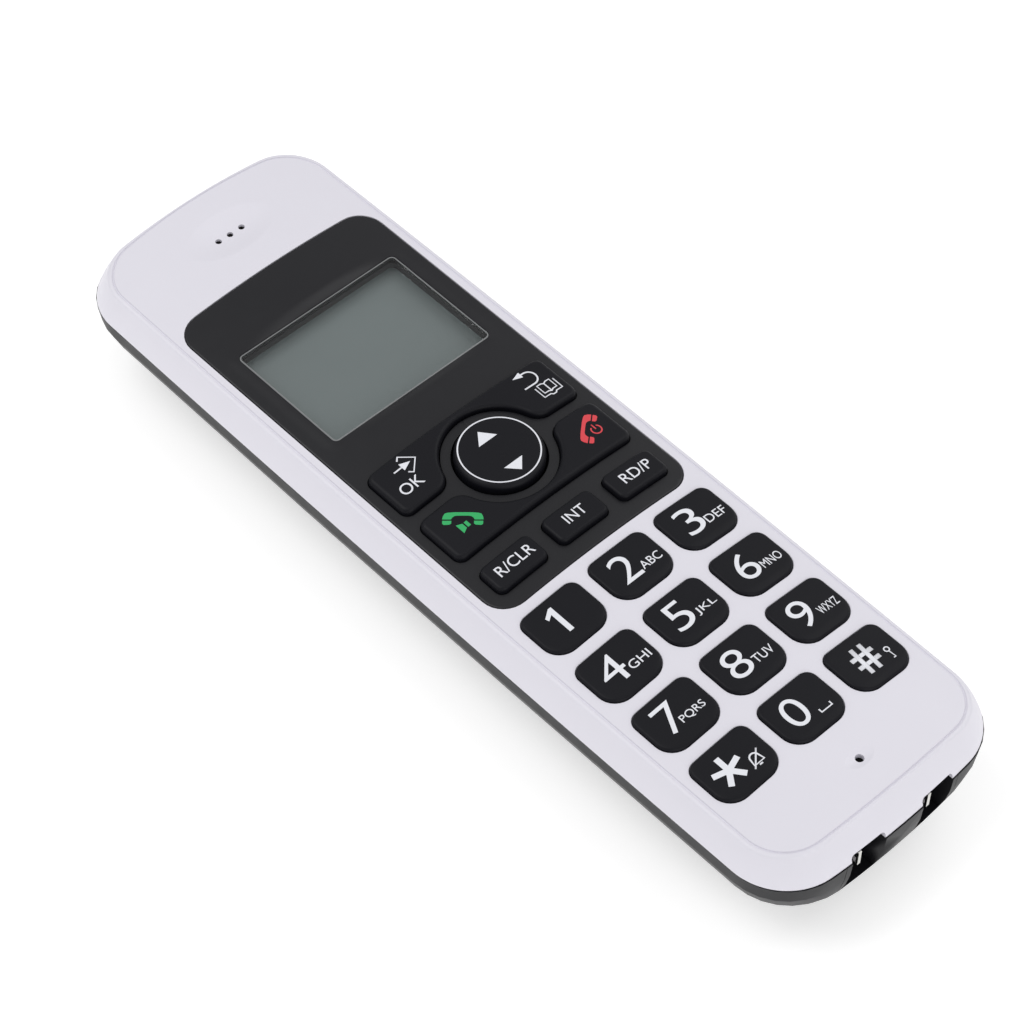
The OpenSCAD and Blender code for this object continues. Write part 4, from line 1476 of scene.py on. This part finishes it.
@dataclass
class Lettering:
    """All of the generic print on the keys."""

    digit_raise: float = 0.47
    strip_raise: float = 1.1
    rocker_raise: float = 1.4
    digit_h: float = 5.05
    digit_x: float = -1.3
    digit_low: float = -2.1
    letters: tuple = ("ABC", "DEF", "GHI", "JKL", "MNO", "PQRS", "TUV", "WXYZ")

    def build(self) -> None:
        """Print every key."""
        self.digits()
        self.symbols()
        self.rocker_marks()
        self.menu_marks()
        self.back_marks()
        self.call_marks()
        self.function_marks()

    def digits(self) -> None:
        """Digits, and the letters beside them."""
        letters = dict(zip(DIGITS[1:9], self.letters))
        for node in DIGITS:
            x, y = DigitKey(node).centre
            sign = node.split("_")[1]
            low = y + self.digit_low - (0.15 if sign in "890" else 0)
            legend = Legend(node + "_print", node, self.digit_raise)
            if sign == "1":
                self.digit_one(legend, x - 1.1, low)
            elif sign.isdigit():
                middle = x + self.digit_x - (0.22 if sign in "45890" else 0)
                half = {"4": 2.0, "8": 1.92, "6": 1.76, "9": 1.8}.get(sign, 1.82)
                legend.write(sign, (middle - half, middle + half, low, low + self.digit_h), -0.004)
            if node in letters:
                left = x + (-0.4 if sign == "7" else 0.75)
                foot = y - (1.85 if sign == "7" else 1.75)
                right = x + {"7": 4.1, "8": 4.5}.get(sign, 4.6)
                legend.write(letters[node], (left, right, foot, foot + 1.52))
            if sign == "0":
                self.bracket(legend, x + 1.4, y - 2.3)
            if sign == "star":
                self.asterisk(legend, x - 1.45, y)
            if sign == "hash":
                self.hash_sign(legend, x - 0.5, y + 0.1)
            legend.settle()

    def digit_one(self, legend: Legend, x: float, low: float) -> None:
        """Digit one: an upright stem with a slanting flag.

        Args:
            legend: Legend that takes it.
            x: Left edge of its stem.
            low: Its foot.
        """
        top = low + self.digit_h
        legend.fill([(x, low), (x + 0.84, low), (x + 0.84, top), (x + 0.3, top), (x - 1.15, top - 1.0),
                     (x - 0.95, top - 1.65), (x, top - 1.05)])

    def asterisk(self, legend: Legend, x: float, y: float) -> None:
        """Five-armed star of straight bars, one arm upright.

        Args:
            legend: Legend that takes it.
            x: Its middle across.
            y: Its middle along.
        """
        half, reach = 0.46, 2.6
        outline = []
        for arm in range(5):
            a = math.radians(90 + 72 * arm)
            u, v = np.array([math.cos(a), math.sin(a)]), np.array([-math.sin(a), math.cos(a)])
            root = half / math.tan(math.radians(36))
            outline += [(x, y) + along * u + side * v
                        for along, side in ((root, -half), (reach, -half), (reach, half))]
        legend.fill([tuple(p) for p in outline])

    def hash_sign(self, legend: Legend, x: float, y: float) -> None:
        """Two nearly upright bars and two cross bars.

        Args:
            legend: Legend that takes it.
            x: Its middle across.
            y: Its middle along.
        """
        for side in (-0.82, 0.82):
            legend.stroke([(x + side - 0.2, y - 2.5), (x + side + 0.2, y + 2.5)], 0.78)
            legend.stroke([(x - 2.15, y + side), (x + 2.15, y + side)], 0.78)

    def bracket(self, legend: Legend, x: float, y: float) -> None:
        """Space bar sign."""
        legend.stroke([(x, y + 0.65), (x, y), (x + 2.1, y), (x + 2.1, y + 0.65)], 0.3)

    def symbols(self) -> None:
        """Small icons beside the star and the hash sign."""
        x, y = DigitKey("key_star").centre
        bell = Legend("ringer_off_print", "key_star", self.digit_raise)
        cx, cy = x + 2.6, y - 1.3
        crown = arc((cx, cy + 0.25), 0.75, 180, 0, 8).tolist()
        dome = [(cx - 0.95, cy - 0.75), *crown, (cx + 0.95, cy - 0.75)]
        bell.stroke(dome, 0.28, closed=True)
        bell.stroke([(cx - 0.3, cy - 1.1), (cx + 0.3, cy - 1.1)], 0.28)
        bell.stroke([(cx - 1.25, cy - 1.2), (cx + 1.25, cy + 1.25)], 0.26)
        bell.settle()
        x, y = DigitKey("key_hash").centre
        lock = Legend("lock_print", "key_hash", self.digit_raise)
        cx, cy = x + 3.15, y - 0.65
        lock.stroke(arc((cx, cy), 0.42, 0, 360, 20)[:-1].tolist(), 0.22, closed=True)
        lock.stroke([(cx + 0.03, cy - 0.42), (cx + 0.12, cy - 1.75), (cx - 0.3, cy - 1.75)], 0.22)
        lock.settle()

    def rocker_marks(self) -> None:
        """Ring and the two arrow heads on the rocker."""
        x, y = NavRocker().centre
        legend = Legend("rocker_print", "nav_rocker", self.rocker_raise, crowned=False)
        legend.stroke(circle(6.33, (x + 0.08, y + 0.2), 120).tolist(), 0.25, closed=True)
        for base, tip in ((2.6, 4.94), (-2.94, -4.92)):
            legend.fill([(x - 1.86, y + base), (x + 1.84, y + base), (x - 0.02, y + tip)])
        legend.settle()

    def menu_marks(self) -> None:
        """Enter arrow and the word under it."""
        legend = Legend("menu_print", "menu_key", self.strip_raise)
        x, y = -9.92, 11.98
        legend.write("OK", (-15.8, -11.75, 7.55, 9.6))
        legend.stroke([(x - 4.3, y), (x - 2.4, y)], 0.28)
        legend.fill([(x - 2.75, y - 0.75), (x - 2.75, y + 0.75), (x - 1.05, y)])
        legend.stroke([(x - 2.55, y + 1.3), (x - 1.95, y + 1.9), (x, y), (x - 1.95, y - 1.9),
                       (x - 2.55, y - 1.3)], 0.28)
        legend.settle()

    def back_marks(self) -> None:
        """Return arrow and the open book under it."""
        legend = Legend("back_print", "back_key", self.strip_raise)
        top, low = 13.25, 10.55
        bow = arc((13.55, (top + low) / 2), (top - low) / 2, 90, -90, 14).tolist()
        legend.stroke([(12.3, top), *bow, (11.45, low)], 0.3)
        legend.fill([(11.3, top), (13.05, top + 0.6), (13.05, top - 0.6)])
        x, y = 14.55, 8.65
        legend.stroke([(x, y - 0.85), (x - 0.45, y - 0.6), (x - 1.25, y - 0.6), (x - 1.25, y + 1.25),
                       (x - 0.45, y + 1.25), (x, y + 1.0), (x + 0.45, y + 1.25), (x + 1.25, y + 1.25),
                       (x + 1.25, y - 0.6), (x + 0.45, y - 0.6)], 0.24, closed=True)
        legend.stroke([(x, y + 1.0), (x, y - 0.85)], 0.24)
        legend.stroke([(x - 1.85, y + 1.0), (x - 1.85, y - 1.25), (x - 0.6, y - 1.25), (x - 0.3, y - 1.55),
                       (x + 0.3, y - 1.55), (x + 0.6, y - 1.25), (x + 1.85, y - 1.25),
                       (x + 1.85, y + 1.0)], 0.24)
        legend.settle()

    def handset(self, legend: Legend, middle: Place, turn: float, size: float) -> None:
        """Receiver sign: a bowed grip and two end pieces.

        Args:
            legend: Legend that takes it.
            middle: Middle of the line between its ends.
            turn: Direction of that line, in degrees.
            size: Scale of the sign.
        """
        a = math.radians(turn)
        u, v = np.array([math.cos(a), math.sin(a)]), np.array([-math.sin(a), math.cos(a)])
        side = [(3.09, 0.44), (3.0, 1.0), (2.75, 1.5), (2.3, 1.66), (1.2, 1.74)]
        under = [(0.9, 1.12), (1.3, 1.02), (1.6, 0.75), (1.77, 0.43)]
        grip = [(-p, q) for p, q in side] + side[::-1] + under[::-1] + [(-p, q) for p, q in under]
        ends = [(3.06, 0.2), (3.04, -0.35), (2.8, -0.56), (1.95, -0.5), (1.7, -0.3), (1.68, 0.2)]
        for outline in (grip, ends, [(-p, q) for p, q in ends]):
            legend.fill([tuple(np.array(middle) + size * (p * u + q * v)) for p, q in outline])

    def call_marks(self) -> None:
        """Green receiver with a speaker sign, and red receiver with a power sign."""
        talk = Legend("talk_print", "talk_key", self.strip_raise, PRINT_GREEN)
        self.handset(talk, (-12.93, -1.89), -45, 1.0)
        x, y = -14.13, -2.62
        talk.fill([(x, y - 0.96), (x + 0.93, y - 0.5), (x + 0.93, y + 0.5), (x, y + 0.96)])
        talk.fill([(x + 1.18, y - 0.53), (x + 1.75, y - 0.53), (x + 1.75, y + 0.53), (x + 1.18, y + 0.53)])
        talk.settle()
        end = Legend("end_print", "end_key", self.strip_raise, PRINT_RED)
        self.handset(end, (13.67, -2.0), 41, 0.97)
        x, y = 14.15, -2.42
        end.stroke(arc((x, y), 0.84, 125, 415, 18).tolist(), 0.25)
        end.stroke([(x, y + 0.1), (x, y + 1.2)], 0.25)
        end.settle()

    def function_marks(self) -> None:
        """Words on the three bar keys."""
        low, high, slash = -13.2, -11.35, 0.1
        words = (("R/CLR", -15.6, -8.65), ("INT", -1.85, 2.03), ("RD/P", 9.88, 15.7))
        for node, (text, left, right) in zip(FUNCTION_KEYS, words):
            legend = Legend(node + "_print", node, self.strip_raise)
            legend.write(text, (left, right, low - (slash if "/" in text else 0), high))
            legend.settle()


# ---- Inside parts -----------------------------------------------------------


@dataclass
class Inside:
    """CAD nodes that keep their shape and get their finishes, and the two round cells."""

    finishes: tuple = (
        ("lcd_glass", LCD), ("lcd_frame", FRAME_WHITE), ("light_guide", GUIDE), ("lcd_connector", FOAM),
        ("keypad_mat", MAT), ("snap_domes", STEEL), ("main_board", BOARD), ("shield_can", STEEL),
        ("board_components", COMPONENT), ("antenna", STEEL), ("earpiece_receiver", COMPONENT),
        ("receiver_gasket", FOAM), ("microphone", STEEL), ("microphone_boot", RUBBER),
        ("ringer_speaker", COMPONENT), ("speaker_gasket", FOAM), ("speaker_leads", LEAD_RED),
        ("charge_contact_left", STEEL), ("charge_contact_right", STEEL), ("battery_terminal_positive", STEEL),
        ("battery_terminal_negative", STEEL), ("battery_link_plate", STEEL), ("cover_screws", STEEL),
        ("board_screws", STEEL))

    def build(self) -> None:
        """Dress the carried-over nodes and build the cells."""
        for node, finish in self.finishes:
            dress(frame["nodes"][node], finish)
            log.info("%s dressed as %s", node, finish.name)
        for node in ("battery_cell_left", "battery_cell_right"):
            self.cell(node)

    def cell(self, node: str) -> None:
        """Round cell with a sleeve, a groove under its button and a rounded foot.

        Args:
            node: CAD node it stands for.
        """
        low, high = box_mm(node)
        toward = 1 if node.endswith("right") else -1
        radius = (high[0] - low[0]) / 2
        x, z = (low[0] + high[0]) / 2, (low[2] + high[2]) / 2
        foot, tip = (low[1], high[1]) if toward > 0 else (high[1], low[1])
        length = abs(tip - foot)
        profile = [(0.0, radius - 0.9), (0.0, radius - 0.35), (0.35, radius), (length - 4.2, radius),
                   (length - 3.8, radius - 0.18), (length - 3.4, radius), (length - 1.3, radius),
                   (length - 0.95, radius - 0.35), (length - 0.95, 2.1), (length - 0.3, 1.9), (length, 1.6)]
        rings = []
        for along, r in profile:
            ring = circle(r, (x, z), 64)
            rings.append(np.column_stack([ring[:, 0], np.full(len(ring), foot + toward * along), ring[:, 1]]))
        obj = loft(node + "_sleeved", rings)
        soften(obj, 40)
        edge = sorted((foot + toward * (length - 9), foot + toward * (length - 5)))
        sleeve = SleeveFinish(node + "_sleeve", (0.04, 0.24, 0.10), 0.3, coat=0.3, grain_depth=0.003,
                              slot="cell_sleeve", band_from=edge[0], band_to=edge[1])
        settle(obj, sleeve, HANDSET, node)


# ---- Studio -----------------------------------------------------------------


@dataclass
class Studio:
    """Pale floor, soft lights and the camera."""

    aim: tuple[float, float, float] = (-2.57, -1.60, 16.2)
    distance: float = 485.8
    azimuth: float = -43.65
    elevation: float = 51.66
    roll: float = 0.73
    lens: float = 112.8
    sky: float = 0.5

    def build(self) -> None:
        """Set up the floor, the lights and the camera."""
        self.floor()
        self.sky_light()
        self.lamp("key_light", (-300, 300, 640), 480, 2.1)
        self.lamp("fill_light", (460, -60, 520), 520, 1.1)
        self.lamp("tail_light", (-120, -620, 330), 460, 1.1)
        self.camera()

    def floor(self) -> None:
        """Large flat sheet of paper under the handset."""
        deselect()
        bpy.ops.mesh.primitive_circle_add(vertices=96, radius=2.2, fill_type="NGON", location=(0, 0, 0))
        obj = bpy.context.object
        with editing(obj):
            bpy.ops.mesh.extrude_region_move(TRANSFORM_OT_translate={"value": (0, 0, -0.002)})
            bpy.ops.mesh.select_all(action="SELECT")
            bpy.ops.mesh.normals_make_consistent(inside=False)
        obj.name = obj.data.name = "floor"
        dress(obj, FLOOR)

    def sky_light(self) -> None:
        """Even white surroundings."""
        world = bpy.data.worlds.new("studio")
        world.use_nodes = True
        world.node_tree.nodes["Background"].inputs["Color"].default_value = (1, 1, 1, 1)
        world.node_tree.nodes["Background"].inputs["Strength"].default_value = self.sky
        bpy.context.scene.world = world
        bpy.context.scene.view_settings.view_transform = "Standard"

    def lamp(self, name: str, place: tuple[float, float, float], size: float, power: float) -> None:
        """Square soft light aimed at the handset.

        Args:
            name: Name of the light.
            place: Its place, in millimetres.
            size: Length of its side, in millimetres.
            power: Its power, in watts.
        """
        data = bpy.data.lights.new(name, "AREA")
        data.energy, data.size = power, size * MM
        lamp = bpy.data.objects.new(name, data)
        bpy.context.scene.collection.objects.link(lamp)
        lamp.location = Vector(place) * MM
        lamp.rotation_euler = (-lamp.location).to_track_quat("-Z", "Y").to_euler()

    def camera(self) -> None:
        """Camera at the viewing angle."""
        a, e = math.radians(self.azimuth), math.radians(self.elevation)
        back = Vector((math.sin(a) * math.cos(e), -math.cos(a) * math.cos(e), math.sin(e)))
        data = bpy.data.cameras.new("camera")
        data.lens, data.sensor_width = self.lens, 36.0
        data.clip_start, data.clip_end = 0.01, 20.0
        camera = bpy.data.objects.new("camera", data)
        bpy.context.scene.collection.objects.link(camera)
        spin = Matrix.Rotation(math.radians(self.roll), 3, "Z")
        turn = (-back).to_track_quat("-Z", "Y").to_matrix() @ spin
        place = (Vector(self.aim) + back * self.distance) * MM
        camera.matrix_world = Matrix.Translation(place) @ turn.to_4x4()
        bpy.context.scene.camera = camera


def main() -> None:
    """Build the handset piece by piece, then the studio round it."""
    logging.basicConfig(level=logging.INFO, format="%(name)s: %(message)s")
    FrontCover().build()
    RearShell().build()
    Fascia().build()
    Window().build()
    for node in DIGITS:
        DigitKey(node).build()
    for node in FUNCTION_KEYS:
        FunctionKey(node).build()
    for node in STRIPS:
        StripKey(node).build()
    NavRocker().build()
    Lettering().build()
    Inside().build()
    Studio().build()


if __name__ == "__main__":
    main()
